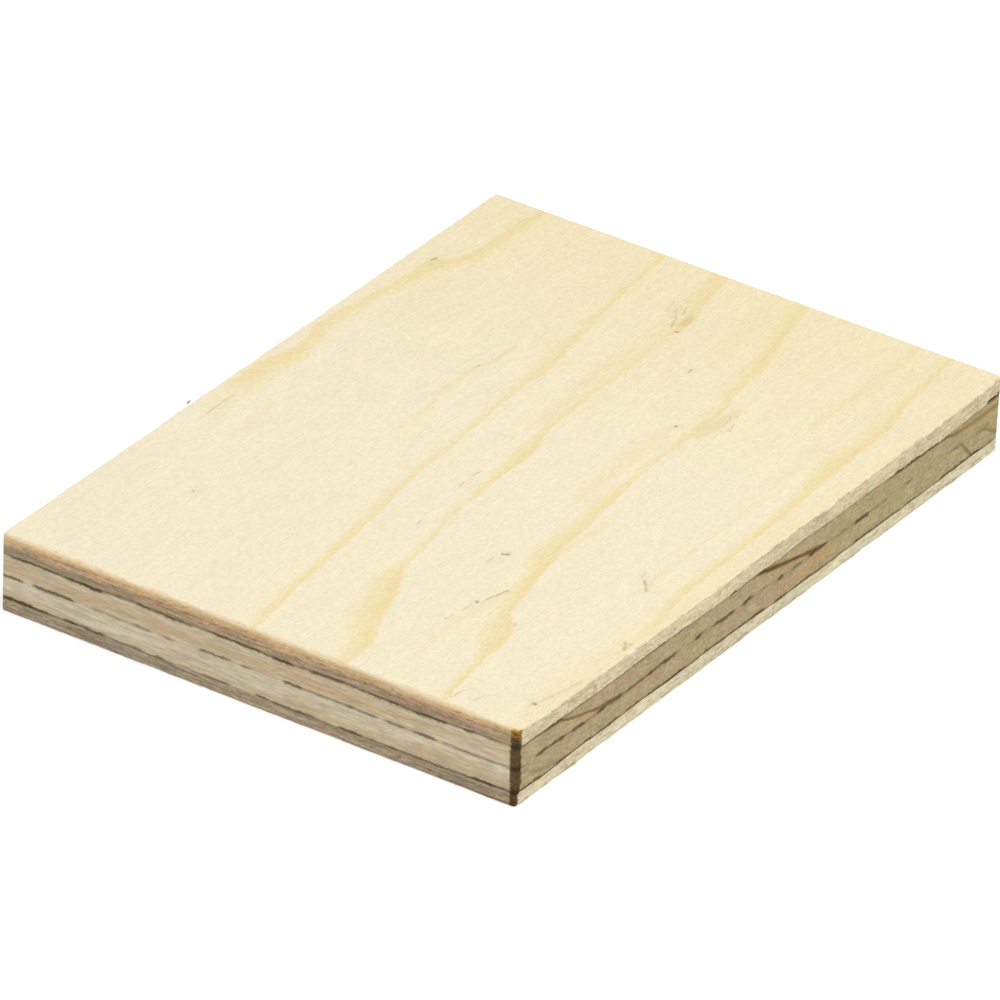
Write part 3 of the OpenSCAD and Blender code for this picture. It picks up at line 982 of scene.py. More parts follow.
class Bench:
    """Lays nodes in one tree and joins them up."""

    def __init__(self, tree):
        self.tree = tree

    def add(self, kind, sockets=None, **settings):
        """Adds a node with its settings, and feeds its sockets with values or other nodes' outputs."""
        node = self.tree.nodes.new(kind)
        for key, value in settings.items():
            setattr(node, key, value)
        for key, value in (sockets or {}).items():
            self.feed(node.inputs[key], value)
        return node

    def feed(self, socket, value):
        """Joins an output to a socket, or sets the socket's value."""
        if isinstance(value, bpy.types.NodeSocket):
            self.tree.links.new(value, socket)
        else:
            socket.default_value = value

    def math(self, operation, *values, clamp=False):
        """Result of a sum on values."""
        node = self.add("ShaderNodeMath", dict(enumerate(values)), operation=operation, use_clamp=clamp)
        return node.outputs[0]

    def vector(self, operation, *values):
        """Result of a sum on vectors."""
        return self.add("ShaderNodeVectorMath", dict(enumerate(values)), operation=operation).outputs[0]

    def scaled(self, vector, factor):
        """A vector or colour times a number."""
        return self.add("ShaderNodeVectorMath", {0: vector, "Scale": factor}, operation="SCALE").outputs[0]

    def swing(self, value, span):
        """A value about one half made to swing about zero over a span."""
        return self.math("MULTIPLY_ADD", value, span, -span / 2)

    def ease(self, value, low, high, start=0.0, end=1.0):
        """Value eased from one range to another."""
        sockets = {"Value": value, "From Min": low, "From Max": high, "To Min": start, "To Max": end}
        return self.add("ShaderNodeMapRange", sockets, interpolation_type="SMOOTHSTEP").outputs[0]

    def blend(self, share, first, second, how="MIX"):
        """Mix of two colours."""
        node = self.add("ShaderNodeMix", data_type="RGBA", blend_type=how)
        for socket, value in ((node.inputs[0], share), (node.inputs[6], first), (node.inputs[7], second)):
            self.feed(socket, value)
        return node.outputs[2]

    def noise(self, vector, scale, detail=2.0, rough=0.5):
        """Value of a noise."""
        sockets = {"Vector": vector, "Scale": scale, "Detail": detail, "Roughness": rough}
        return self.add("ShaderNodeTexNoise", sockets).outputs[0]

    def split(self, vector):
        """The three parts of a vector."""
        return self.add("ShaderNodeSeparateXYZ", {0: vector}).outputs

    def join(self, x, y, z):
        """A vector from three parts."""
        return self.add("ShaderNodeCombineXYZ", {0: x, 1: y, 2: z}).outputs[0]

    def curve(self, value, points):
        """Smooth curve through points between 0 and 1."""
        node = self.add("ShaderNodeFloatCurve", {"Value": value})
        node.mapping.extend = "HORIZONTAL"
        line = node.mapping.curves[0]
        for _ in range(len(points) - 2):
            line.points.new(0.5, 0.5)
        for made, (x, y) in zip(line.points, sorted(points)):
            made.location = (x, y)
            made.handle_type = "AUTO_CLAMPED"
        node.mapping.update()
        return node.outputs[0]

    def place(self, group, **sockets):
        """Places a shader group and feeds its sockets, named with underscores for spaces."""
        node = self.add("ShaderNodeGroup", node_tree=group)
        for key, value in sockets.items():
            self.feed(node.inputs[key.replace("_", " ")], value)
        return node.outputs

    def attribute(self, name):
        """The three parts of a vector kept on the mesh."""
        return self.split(self.add("ShaderNodeAttribute", attribute_name=name).outputs["Vector"])


def effect(name, inputs, outputs):
    """A new shader group with named sockets, as its bench, its inputs and the node that takes its outputs."""
    tree = bpy.data.node_groups.new(name, "ShaderNodeTree")
    kinds = {"value": "NodeSocketFloat", "vector": "NodeSocketVector", "colour": "NodeSocketColor"}
    for label, kind, default in inputs:
        socket = tree.interface.new_socket(label, in_out="INPUT", socket_type=kinds[kind])
        if default is not None:
            socket.default_value = default
    for label, kind in outputs:
        tree.interface.new_socket(label, in_out="OUTPUT", socket_type=kinds[kind])
    bench = Bench(tree)
    return bench, bench.add("NodeGroupInput").outputs, bench.add("NodeGroupOutput").inputs


def group(name, maker):
    """The shader group of that name, made once."""
    return bpy.data.node_groups.get(name) or maker(name)


def latewood_band(name):
    """Masks of one band and of its heart, which lies towards the band's crisp side."""
    bench, given, made = effect(
        name,
        (("Offset", "value", 0.0), ("Half Width", "value", 1.0), ("Strength", "value", 1.0),
         ("Crisp", "value", 0.0), ("Near Rim", "value", 2.0), ("Near Full", "value", 0.2),
         ("Far Rim", "value", 2.0), ("Far Full", "value", 0.2)),
        (("Mask", "value"), ("Heart", "value")),
    )
    share = bench.math("DIVIDE", given["Offset"], given["Half Width"])
    near = bench.ease(share, given["Near Rim"], given["Near Full"])
    far = bench.ease(bench.math("MULTIPLY", share, -1.0), given["Far Rim"], given["Far Full"])
    mask = bench.math("MULTIPLY", bench.math("MINIMUM", near, far), given["Strength"])
    bench.feed(made["Mask"], mask)
    heart = bench.ease(bench.math("MULTIPLY", share, given["Crisp"]), -0.8, 0.6)
    bench.feed(made["Heart"], bench.math("MULTIPLY", mask, heart))
    return bench.tree


def grain_fibres(name):
    """Fibres drawn out along the grain: fine ones, streaks, broad changes of tone and sparse flecks."""
    bench, given, made = effect(
        name,
        (("Along", "value", 0.0), ("Across", "value", 0.0), ("Through", "value", 0.0)),
        (("Fine", "value"), ("Streak", "value"), ("Broad", "value"), ("Fleck", "value")),
    )

    def drawn(run, width, detail, rough):
        across = bench.math("DIVIDE", given["Across"], width)
        through = bench.math("DIVIDE", given["Through"], width)
        along = bench.math("DIVIDE", given["Along"], run)
        return bench.noise(bench.join(along, across, through), 1.0, detail, rough)

    bench.feed(made["Fine"], drawn(0.8, 0.4, 2.0, 0.6))
    bench.feed(made["Streak"], drawn(9.0, 0.55, 2.0, 0.6))
    bench.feed(made["Broad"], drawn(24.0, 4.0, 2.0, 0.5))
    bench.feed(made["Fleck"], bench.ease(drawn(2.2, 0.25, 1.0, 0.5), 0.68, 0.78))
    return bench.tree


def cut_fibres(name):
    """Fibres cut across: a fine mottle and a broader unevenness."""
    bench, given, made = effect(
        name, (("Position", "vector", None),), (("Pores", "value"), ("Mottle", "value"))
    )
    bench.feed(made["Pores"], bench.noise(given["Position"], 2.0, 2.0, 0.7))
    bench.feed(made["Mottle"], bench.noise(given["Position"], 0.35, 2.0, 0.6))
    return bench.tree


def resin_line(name):
    """Mask of dark resin beside the glue lines above and below, and of a pale halo along it, a painted
    highlight.
    """
    bench, given, made = effect(
        name,
        (("Under", "value", FAR_OFF), ("Over", "value", FAR_OFF), ("Seep Above", "value", 0.0),
         ("Seep Below", "value", 0.0), ("Break", "value", 0.5), ("Spread", "value", 1.0)),
        (("Mask", "value"), ("Pale", "value"), ("Broad", "value")),
    )
    masks, halos, broads = [], [], []
    for gap, seep in (("Under", "Seep Above"), ("Over", "Seep Below")):
        reach = bench.math("MULTIPLY", bench.math("MULTIPLY_ADD", given[seep], 0.25, 0.2), given["Spread"])
        reach = bench.math("MULTIPLY", reach, bench.math("MULTIPLY_ADD", given["Break"], 0.9, 0.55))
        share = bench.math("DIVIDE", given[gap], reach)
        shown = bench.ease(given[seep], 0.0, 0.6)
        dark = bench.math("MULTIPLY", shown, bench.math("MULTIPLY_ADD", given[seep], 0.5, 0.42))
        masks.append(bench.math("MULTIPLY", bench.ease(share, 1.0, 0.3), dark))
        broads.append(bench.math("MULTIPLY", bench.ease(share, 2.4, 0.4), dark))
        # Painted highlight: a pale halo on either side of the resin
        halos.append(bench.math("MULTIPLY", bench.ease(share, 2.4, 1.3), bench.ease(given[seep], 0.1, 0.7)))
    mask = bench.math("MAXIMUM", *masks)
    bench.feed(made["Mask"], mask)
    bench.feed(made["Broad"], bench.math("MAXIMUM", *broads))
    bench.feed(made["Pale"], bench.math("SUBTRACT", bench.math("MAXIMUM", *halos), mask, clamp=True))
    return bench.tree


def dark_corner(name):
    """Dark strip of the front corner: brown over all, amber at the upper tip and darkest at the foot and
    where resin runs.
    """
    bench, given, made = effect(
        name,
        (("Wood", "colour", None), ("Burnt", "colour", None), ("Amber", "colour", None),
         ("Scorch", "value", 0.0), ("Resin", "value", 0.0), ("Height", "value", 0.0),
         ("Break", "value", 0.5)),
        (("Colour", "colour"),),
    )
    tip = bench.ease(bench.math("ADD", given["Height"], given["Break"]), 13.7, 14.5)
    low = bench.ease(given["Height"], 2.6, 1.6)
    spread = bench.ease(given["Break"], 0.25, 0.75, 0.6, 1.4)
    brown = bench.scaled(bench.blend(tip, given["Burnt"], given["Amber"]), spread)
    through = bench.math("MULTIPLY", given["Resin"], 0.9)
    deep = bench.math("MAXIMUM", through, bench.math("MULTIPLY", low, 0.3))
    brown = bench.blend(deep, brown, DEEP_BROWN)
    ragged = bench.math("ADD", given["Scorch"], bench.swing(given["Break"], 0.5))
    cover = bench.math("MULTIPLY", bench.ease(ragged, 0.1, 0.9), 0.97)
    bench.feed(made["Colour"], bench.blend(cover, given["Wood"], brown))
    return bench.tree


# Where a band's side starts and is full, as shares of its half width, and how much wider a crisp band is
SOFT_SIDE, CRISP_SIDE, CRISP_SPREAD = (1.9, 0.25), (1.25, 0.7), 1.12
# Half width that stands for 1 in a band's curve
WIDEST_BAND = 4.0
# Shine of sawn and of sanded wood
SAWN_SHINE, SANDED_SHINE = 0.08, 0.3
# Darkest brown of the corner strip where resin runs, paper in other things' light, and white
DEEP_BROWN = (0.02, 0.014, 0.007, 1.0)
PAPER = (0.8, 0.8, 0.79, 1.0)
WHITE = (1.0, 1.0, 1.0, 1.0)


def opaque(colour):
    """A colour with full alpha, as a node's socket takes it."""
    return (*colour, 1.0)


class Wood:
    """A wood material in the making: its bench, places in millimetres, and a Principled shader to end in."""

    def __init__(self, name):
        self.material = bpy.data.materials.new(name)
        self.material.use_nodes = True
        self.bench = Bench(self.material.node_tree)
        self.shader = self.material.node_tree.nodes["Principled BSDF"]
        position = self.bench.add("ShaderNodeTexCoord").outputs["Object"]
        self.position = self.bench.vector("MULTIPLY", position, (1 / MM,) * 3)
        self.x, self.y, self.z = self.bench.split(self.position)
        self.along = self.bench.math("SUBTRACT", self.x, float(SHEET_LOW[0]))
        self.across = self.bench.math("SUBTRACT", float(SHEET_HIGH[1]), self.y)
        self.down = self.bench.math("SUBTRACT", float(SHEET_HIGH[2]), self.z)

    def fibres(self, along, across, through):
        """Fine, streak, broad and fleck values for a grain that runs along the first of three places."""
        fibres = group("grain_fibres", grain_fibres)
        return self.bench.place(fibres, Along=along, Across=across, Through=through)

    def pores(self):
        """Pore and mottle values of cut fibres."""
        return self.bench.place(group("cut_fibres", cut_fibres), Position=self.position)

    def drift(self, along, across, run, width, detail=2.0):
        """Noise drawn out over a run one way and a width the other."""
        bench = self.bench
        flat = bench.join(bench.math("DIVIDE", along, run), bench.math("DIVIDE", across, width), 0.37)
        return bench.noise(flat, 1.0, detail)

    def bands(self, bands, along, across, span_along, span_across, sway):
        """Joint masks of bands of latewood, whose middle sways a little, and of their hearts."""
        bench = self.bench
        share = bench.math("DIVIDE", along, float(span_along))
        swayed = bench.math("ADD", across, sway)
        clear, plain = None, None
        for band in bands:
            middle = bench.curve(share, [(x / span_along, y / span_across) for x, y in band.middle])
            offset = bench.math("SUBTRACT", swayed, bench.math("MULTIPLY", middle, float(span_across)))
            half = bench.curve(share, [(x / span_along, w / WIDEST_BAND) for x, w in band.half])
            near, far = (CRISP_SIDE if band.crisp == side else SOFT_SIDE for side in (1, -1))
            mask, heart = bench.place(
                group("latewood_band", latewood_band),
                Offset=offset,
                Half_Width=bench.math("MULTIPLY", half, WIDEST_BAND * (CRISP_SPREAD if band.crisp else 1.0)),
                Strength=bench.curve(share, [(x / span_along, s) for x, s in band.strength]),
                Crisp=float(band.crisp),
                Near_Rim=near[0], Near_Full=near[1], Far_Rim=far[0], Far_Full=far[1],
            )
            free, bare = (bench.math("SUBTRACT", 1.0, part) for part in (mask, heart))
            clear = free if clear is None else bench.math("MULTIPLY", clear, free)
            plain = bare if plain is None else bench.math("MULTIPLY", plain, bare)
        return bench.math("SUBTRACT", 1.0, clear), bench.math("SUBTRACT", 1.0, plain)

    def vary(self, colour, value, amount):
        """Colour made lighter and darker by a value about one half."""
        factor = self.bench.math("MULTIPLY_ADD", value, amount, 1.0 - amount / 2)
        start = colour if isinstance(colour, bpy.types.NodeSocket) else colour[:3]
        return self.bench.scaled(start, factor)

    def stray(self, colour, scale, amount):
        """Colour whose red, green and blue each wander a little over patches of raw wood."""
        wander = self.bench.add(
            "ShaderNodeTexNoise", {"Vector": self.position, "Scale": scale, "Detail": 3.0, "Roughness": 0.6}
        ).outputs["Color"]
        factor = self.bench.vector("MULTIPLY_ADD", wander, (amount,) * 3, (1.0 - amount / 2,) * 3)
        return self.bench.vector("MULTIPLY", colour, factor)

    def wide(self, value):
        """A noise spread over its whole range."""
        return self.bench.ease(value, 0.3, 0.7)

    def tint(self, colour, mask, share, other):
        """Colour with a share of another laid over it where a mask is full."""
        return self.bench.blend(self.bench.math("MULTIPLY", mask, share, clamp=True), colour, opaque(other))

    def edge_marks(self, colours, wood, break_up, soak=1.0, spread=1.0):
        """Wood with resin at its glue lines, a painted highlight beside the resin and the dark strip of the
        front corner laid over it, and the resin's mask.
        """
        bench = self.bench
        seep_above, seep_below, _ = bench.attribute("glue")
        under, over, corner_dark = bench.attribute("ply")
        resin, pale, broad = bench.place(
            group("resin_line", resin_line),
            Under=under, Over=over, Seep_Above=seep_above, Seep_Below=seep_below,
            Break=break_up, Spread=spread,
        )
        # The pale halo beside the resin is a painted highlight, in the colour of the nap
        wood = self.tint(self.tint(wood, pale, 0.1 * soak, colours.nap_and_highlight), broad, 0.25 * soak, colours.resin)
        darkened = bench.place(
            group("dark_corner", dark_corner),
            Wood=bench.blend(bench.math("MULTIPLY", resin, soak), wood, opaque(colours.resin)),
            Burnt=self.stray(colours.corner_dark, 0.6, 0.5),
            Amber=self.stray(colours.amber, 0.6, 0.3),
            Scorch=corner_dark, Resin=broad, Height=self.z, Break=break_up,
        )[0]
        return darkened, bench.math("MULTIPLY", resin, soak)

    def finish(self, colour, height, relief, rough_low, rough_high, rough_by, shine=SAWN_SHINE):
        """Ends the material in its Principled shader, with bump from a height and roughness from a value."""
        bench = self.bench
        bump = bench.add("ShaderNodeBump", {"Height": height, "Distance": relief * MM, "Strength": 1.0})
        bench.feed(self.shader.inputs["Base Color"], colour)
        bench.feed(self.shader.inputs["Roughness"], bench.ease(rough_by, 0.2, 0.8, rough_low, rough_high))
        bench.feed(self.shader.inputs["Normal"], bump.outputs[0])
        self.shader.inputs["Specular IOR Level"].default_value = shine
        return self.material


def sanded_face_wood(colours):
    """Pale sanded pine with golden latewood bands along the grain, checks, pits and a few stains."""
    wood = Wood("sanded_face_wood")
    bench = wood.bench
    fine, streak, broad, fleck = wood.fibres(wood.x, wood.y, wood.z)
    slow = wood.drift(wood.x, wood.y, 16.0, 3.0)
    quick = wood.drift(wood.x, wood.y, 2.4, 0.7)
    sway = bench.math("ADD", bench.swing(slow, 1.4), bench.swing(quick, 0.8))
    late, heart = wood.bands(FACE_BANDS, wood.along, wood.across, LENGTH, WIDTH, sway)
    combed = wood.wide(wood.drift(wood.x, wood.y, 12.0, 0.5))
    late = bench.math("MULTIPLY", late, bench.math("MULTIPLY_ADD", combed, 0.9, 0.6), clamp=True)
    heart = bench.math("MULTIPLY", heart, bench.math("MULTIPLY_ADD", wood.wide(streak), 0.8, 0.4), clamp=True)
    far = bench.ease(bench.math("ADD", wood.along, bench.swing(slow, 60.0)), 70.0, 150.0)
    rim = bench.ease(bench.math("ADD", wood.across, bench.swing(slow, 5.0)), 99.0, 105.5)
    warm = bench.math("MULTIPLY", bench.math("MAXIMUM", far, rim), 0.8)
    ground = bench.blend(warm, opaque(colours.earlywood), opaque(colours.warm_wood))
    ground = wood.vary(wood.vary(ground, broad, 0.05), streak, 0.1)
    face = wood.tint(wood.tint(ground, late, 1.0, colours.late_border), heart, 0.65, colours.latewood)
    face = wood.vary(wood.stray(wood.stray(face, 0.5, 0.04), 0.12, 0.04), fine, 0.34)
    face = wood.tint(face, fleck, 0.25, colours.latewood)
    dark, brown, grey = bench.attribute("marks")
    uneven = bench.math("MULTIPLY_ADD", quick, 1.4, 0.3)
    for mask, mark in ((brown, colours.stain), (grey, colours.smudge), (dark, colours.check)):
        face = wood.tint(face, mask, uneven, mark)
    height = bench.math("ADD", fine, bench.math("MULTIPLY", late, 0.3))
    return wood.finish(face, height, 0.05, 0.62, 0.5, late, SANDED_SHINE)


def outer_side_wood(name, colours, ground):
    """Side grain of the face or back, sawn along the grain: pale, fuzzy, with bright torn fibres and painted
    shade in its hollows.
    """
    wood = Wood(name)
    bench = wood.bench
    fine, streak = wood.fibres(wood.x, wood.y, wood.z)[:2]
    patch = wood.drift(wood.x, wood.z, 3.2, 0.9)
    tuft = wood.drift(wood.x, wood.z, 1.3, 0.65, 3.0)
    speck = wood.drift(wood.x, wood.z, 0.45, 0.3, 2.0)
    side = wood.tint(opaque(ground), bench.ease(patch, 0.45, 0.65), 0.75, colours.side_shade)
    side = wood.vary(wood.vary(side, wood.wide(streak), 0.2), wood.wide(speck), 0.22)
    side = wood.vary(side, wood.wide(wood.drift(wood.x, wood.z, 18.0, 5.0)), 0.14)
    side = wood.stray(side, 0.6, 0.14)
    side = wood.tint(side, bench.ease(tuft, 0.51, 0.66), 0.95, colours.nap_and_highlight)
    # Painted shade in the hollows between the tufts of the bump
    side = wood.tint(side, bench.ease(tuft, 0.42, 0.28), 0.6, colours.side_hollow_shade)
    side = wood.edge_marks(colours, side, wood.wide(fine), 0.3)[0]
    height = bench.math("ADD", bench.math("MULTIPLY", tuft, 1.5), fine)
    return wood.finish(side, height, 0.14, 0.7, 0.8, fine)


def outer_cut_wood(name, colours, upper, lower, low, high, rim=None, rings=()):
    """End grain of the face or back: rings drawn out along the edge, under a golden rim if there is one."""
    wood = Wood(name)
    bench = wood.bench
    pores = wood.pores()[0]
    ring = wood.drift(wood.y, wood.z, 7.0, 0.45)
    fine = wood.drift(wood.y, wood.z, 1.2, 0.4, 3.0)
    slow = wood.drift(wood.y, wood.z, 7.0, 4.0)
    spot = wood.drift(wood.z, wood.y, 0.6, 1.5)
    rise = bench.math("MULTIPLY_ADD", fine, 1.1, bench.math("MULTIPLY_ADD", slow, 1.6, -1.35))
    level = bench.math("ADD", wood.z, rise)
    cut = bench.blend(bench.ease(level, low, high), opaque(lower), opaque(upper))
    cut = wood.vary(wood.vary(cut, wood.wide(ring), 0.5), wood.wide(fine), 0.3)
    cut = wood.stray(wood.vary(cut, wood.wide(pores), 0.2), 0.5, 0.25)
    if rings:
        sway = bench.swing(slow, 0.8)
        marks = wood.bands(rings, wood.across, wood.down, WIDTH, THICKNESS, sway)[0]
        cut = wood.tint(cut, marks, 1.0, colours.pit)
    if rim:
        grey = bench.ease(level, rim - 2.3, rim - 3.0)
        grey = bench.math("MULTIPLY", grey, bench.ease(wood.across, 34.0, 18.0))
        cut = wood.tint(cut, grey, 0.6, colours.olive)
        cut = wood.tint(cut, bench.ease(level, rim - 1.8, rim - 0.7), 0.75, colours.rim)
        cut = wood.tint(cut, bench.ease(spot, 0.6, 0.72), 0.6, colours.ember)
        cut = wood.tint(cut, bench.ease(level, rim - 1.0, rim - 0.2), 0.55, colours.earlywood)
    pits = bench.math("MULTIPLY", bench.ease(spot, 0.38, 0.27), bench.ease(wood.down, 0.5, 1.2))
    cut = wood.tint(cut, pits, 0.5, colours.pit)
    cut = wood.edge_marks(colours, cut, wood.wide(fine))[0]
    return wood.finish(cut, bench.math("ADD", pores, ring), 0.12, 0.72, 0.82, pores)


def core_long_wood(name, colours, ground, streaks):
    """Long grain of a core veneer on the sheet's ends: light beige, with orange streaks along it."""
    wood = Wood(name)
    bench = wood.bench
    fine, streak, broad, fleck = wood.fibres(wood.y, wood.z, wood.x)
    wave = wood.drift(wood.y, wood.z, 9.0, 1.5)
    sway = bench.swing(wave, 0.9)
    late = wood.bands(streaks, wood.across, wood.down, WIDTH, THICKNESS, sway)[0]
    late = bench.math("MULTIPLY", late, bench.math("MULTIPLY_ADD", streak, 1.8, 0.1), clamp=True)
    core = wood.vary(wood.vary(opaque(ground), wood.wide(streak), 0.16), broad, 0.25)
    core = wood.tint(core, bench.ease(wave, 0.5, 0.68), 0.4, colours.core_streak)
    core = bench.blend(late, core, opaque(colours.core_streak))
    core = wood.stray(wood.vary(core, wood.wide(fine), 0.12), 0.4, 0.16)
    core = wood.vary(core, wood.wide(wood.drift(wood.y, wood.z, 3.0, 0.4)), 0.22)
    core = wood.tint(core, fleck, 0.2, colours.core_streak)
    core, resin = wood.edge_marks(colours, core, wood.wide(fine), spread=1.25)
    return wood.finish(core, bench.math("SUBTRACT", fine, resin), 0.07, 0.66, 0.76, fine)


def core_cut_wood(name, colours, rings, glow, gap_shade=(), joint=False):
    """End grain of a core veneer on the long edges: tan, with brown growth rings that cross it aslant."""
    wood = Wood(name)
    bench = wood.bench
    pores, mottle = wood.pores()
    fine = wood.drift(wood.x, wood.z, 2.2, 0.4, 3.0)
    zone = wood.drift(wood.x, wood.z, 17.0, 6.0, 3.0)
    sway = bench.swing(fine, 0.5)
    ring = wood.bands(rings, wood.along, wood.down, LENGTH, THICKNESS, sway)[0]
    ring = bench.math("MULTIPLY", ring, bench.math("MULTIPLY_ADD", fine, 0.8, 0.55), clamp=True)
    zone = bench.math("SUBTRACT", zone, bench.ease(wood.along, 85.0, 115.0, 0.0, 0.14))
    core = bench.blend(bench.ease(zone, 0.4, 0.6), opaque(colours.core_cut), opaque(colours.core_cut_warm))
    core = wood.vary(wood.vary(core, mottle, 0.4), wood.wide(pores), 0.3)
    core = wood.stray(wood.vary(core, wood.wide(fine), 0.2), 0.5, 0.12)
    gold = wood.bands(glow, wood.along, wood.down, LENGTH, THICKNESS, sway)[0]
    gold = bench.math("MULTIPLY", gold, bench.math("MULTIPLY_ADD", fine, 1.4, 0.1))
    core = wood.tint(core, gold, 0.7, colours.core_glow)
    core = bench.blend(ring, core, opaque(colours.core_ring))
    # Painted shade of the void under the face near the far end, as a dark band on the core
    if gap_shade:
        gap = wood.bands(gap_shade, wood.along, wood.down, LENGTH, THICKNESS, sway)[0]
        core = wood.tint(core, gap, 0.95, colours.gap)
    if joint:
        slope = (JOINT_TOP - JOINT_FOOT) / (GLUE_HEIGHT["middle"] - GLUE_HEIGHT["lower"])
        start = JOINT_FOOT - slope * GLUE_HEIGHT["lower"]
        line = bench.math("MULTIPLY_ADD", wood.z, float(slope), float(start))
        off = bench.math("ABSOLUTE", bench.math("SUBTRACT", wood.x, line))
        off = bench.math("ADD", off, bench.swing(fine, 0.24))
        core = wood.tint(core, bench.ease(off, 0.62, 0.2), 0.9, colours.joint_glue)
    knots = wood.wide(wood.drift(wood.x, wood.z, 1.0, 0.5, 3.0))
    core, resin = wood.edge_marks(colours, core, knots, spread=1.6)
    height = bench.math("SUBTRACT", bench.math("ADD", pores, fine), resin)
    return wood.finish(core, height, 0.08, 0.7, 0.8, pores)


def back_wood(colours):
    """Underside of the back: plain pine with faint long latewood."""
    wood = Wood("back_wood")
    bench = wood.bench
    fine, streak, broad, fleck = wood.fibres(wood.x, wood.y, wood.z)
    field = wood.drift(wood.x, wood.y, 190.0, 16.0, 1.0)
    count = bench.math("MULTIPLY", field, 9.0)
    rings = bench.math("FRACT", bench.math("ADD", count, bench.math("MULTIPLY", fine, 0.12)))
    late = bench.math("MULTIPLY", bench.ease(rings, 0.35, 0.9), bench.ease(rings, 1.0, 0.95))
    back = wood.vary(wood.vary(opaque(colours.back_wood), broad, 0.15), streak, 0.2)
    back = wood.tint(back, late, 0.4, colours.back_late)
    back = wood.vary(back, fine, 0.3)
    back = wood.tint(back, fleck, 0.5, colours.back_late)
    height = bench.math("ADD", fine, bench.math("MULTIPLY", late, 0.5))
    return wood.finish(back, height, 0.07, 0.62, 0.72, fine, SANDED_SHINE)


def glue_film(colours):
    """Faces inside the sheet, under a film of resin, made once."""
    made = bpy.data.materials.get("glue_film")
    if made:
        return made
    wood = Wood("glue_film")
    mottle = wood.pores()[1]
    film = wood.bench.blend(mottle, opaque(colours.resin), opaque(colours.core_ring))
    return wood.finish(film, mottle, 0.02, 0.4, 0.6, mottle)


def torn_fibre_wood(colours):
    """Torn fibres: bright, with some as tan as the sawn wood."""
    wood = Wood("torn_fibre_wood")
    patch = wood.bench.noise(wood.position, 0.9, 2.0)
    fibre = wood.tint(opaque(colours.nap_and_highlight), wood.bench.ease(patch, 0.5, 0.7), 0.8, colours.face_side)
    return wood.finish(fibre, patch, 0.01, 0.7, 0.8, patch)


def splinter_shadow_wood(colours):
    """Dark tip of a splinter: a painted shadow of the gap behind the lifted splinter."""
    wood = Wood("splinter_shadow_wood")
    patch = wood.bench.noise(wood.position, 2.0, 2.0)
    tip = wood.vary(opaque(colours.splinter_shadow), patch, 0.6)
    return wood.finish(tip, patch, 0.01, 0.7, 0.8, patch)


def torn_fibre_tree():
    """Geometry nodes that set tapering fibres along a path, leaning along it and outwards at random."""
    tree = bpy.data.node_groups.new("torn_fibres", "GeometryNodeTree")
    bench = Bench(tree)
    tree.interface.new_socket("Geometry", in_out="INPUT", socket_type="NodeSocketGeometry")
    for label in ("Spacing", "Length", "Width", "Along", "Out", "Lift", "Jitter"):
        tree.interface.new_socket(label, in_out="INPUT", socket_type="NodeSocketFloat")
    tree.interface.new_socket("Seed", in_out="INPUT", socket_type="NodeSocketInt")
    tree.interface.new_socket("Material", in_out="INPUT", socket_type="NodeSocketMaterial")
    tree.interface.new_socket("Geometry", in_out="OUTPUT", socket_type="NodeSocketGeometry")
    given = bench.add("NodeGroupInput").outputs
    made = bench.add("NodeGroupOutput").inputs

    def chance(low, high, turn):
        seed = bench.math("ADD", given["Seed"], turn)
        node = bench.add("FunctionNodeRandomValue", {2: low, 3: high, "Seed": seed}, data_type="FLOAT")
        return node.outputs[1]

    def pushed(vector, *factors):
        for factor in factors:
            vector = bench.scaled(vector, factor)
        return vector

    curve = bench.add("GeometryNodeMeshToCurve", {"Mesh": given["Geometry"]}).outputs[0]
    points = bench.add(
        "GeometryNodeCurveToPoints", {"Curve": curve, "Length": given["Spacing"]}, mode="LENGTH"
    ).outputs
    outward = bench.add(
        "GeometryNodeInputNamedAttribute", {"Name": "outward"}, data_type="FLOAT_VECTOR"
    ).outputs[0]
    either = bench.math("MULTIPLY", bench.math("SIGN", chance(-1.0, 1.0, 1)), chance(0.7, 1.0, 8))
    upright = (0.0, 0.0, 1.0)
    lean = bench.vector("ADD", pushed(points["Tangent"], given["Along"], either),
                        pushed(outward, given["Out"], chance(0.15, 1.0, 2)))
    lean = bench.vector("ADD", lean, pushed(upright, given["Lift"], chance(-1.0, 1.0, 3)))
    shift = bench.vector("ADD", pushed(points["Tangent"], given["Spacing"], chance(-0.5, 0.5, 4)),
                         pushed(upright, given["Jitter"], chance(-1.0, 1.0, 5)))
    moved = bench.add("GeometryNodeSetPosition", {"Geometry": points["Points"], "Offset": shift}).outputs[0]
    turn = bench.add("FunctionNodeAlignRotationToVector", {"Vector": lean}, axis="Z").outputs[0]
    wide = bench.math("MULTIPLY", given["Width"], chance(0.4, 1.6, 6))
    size = bench.join(wide, wide, bench.math("MULTIPLY", given["Length"], chance(0.3, 1.3, 7)))
    fibre = bench.add(
        "GeometryNodeMeshCone", {"Vertices": 4, "Radius Top": 0.15, "Radius Bottom": 0.5, "Depth": 1.0}
    ).outputs["Mesh"]
    placed = bench.add(
        "GeometryNodeInstanceOnPoints", {"Points": moved, "Instance": fibre, "Rotation": turn, "Scale": size}
    ).outputs[0]
    real = bench.add("GeometryNodeRealizeInstances", {"Geometry": placed}).outputs[0]
    dressed = bench.add("GeometryNodeSetMaterial", {"Geometry": real, "Material": given["Material"]})
    bench.feed(made["Geometry"], dressed.outputs[0])
    return tree


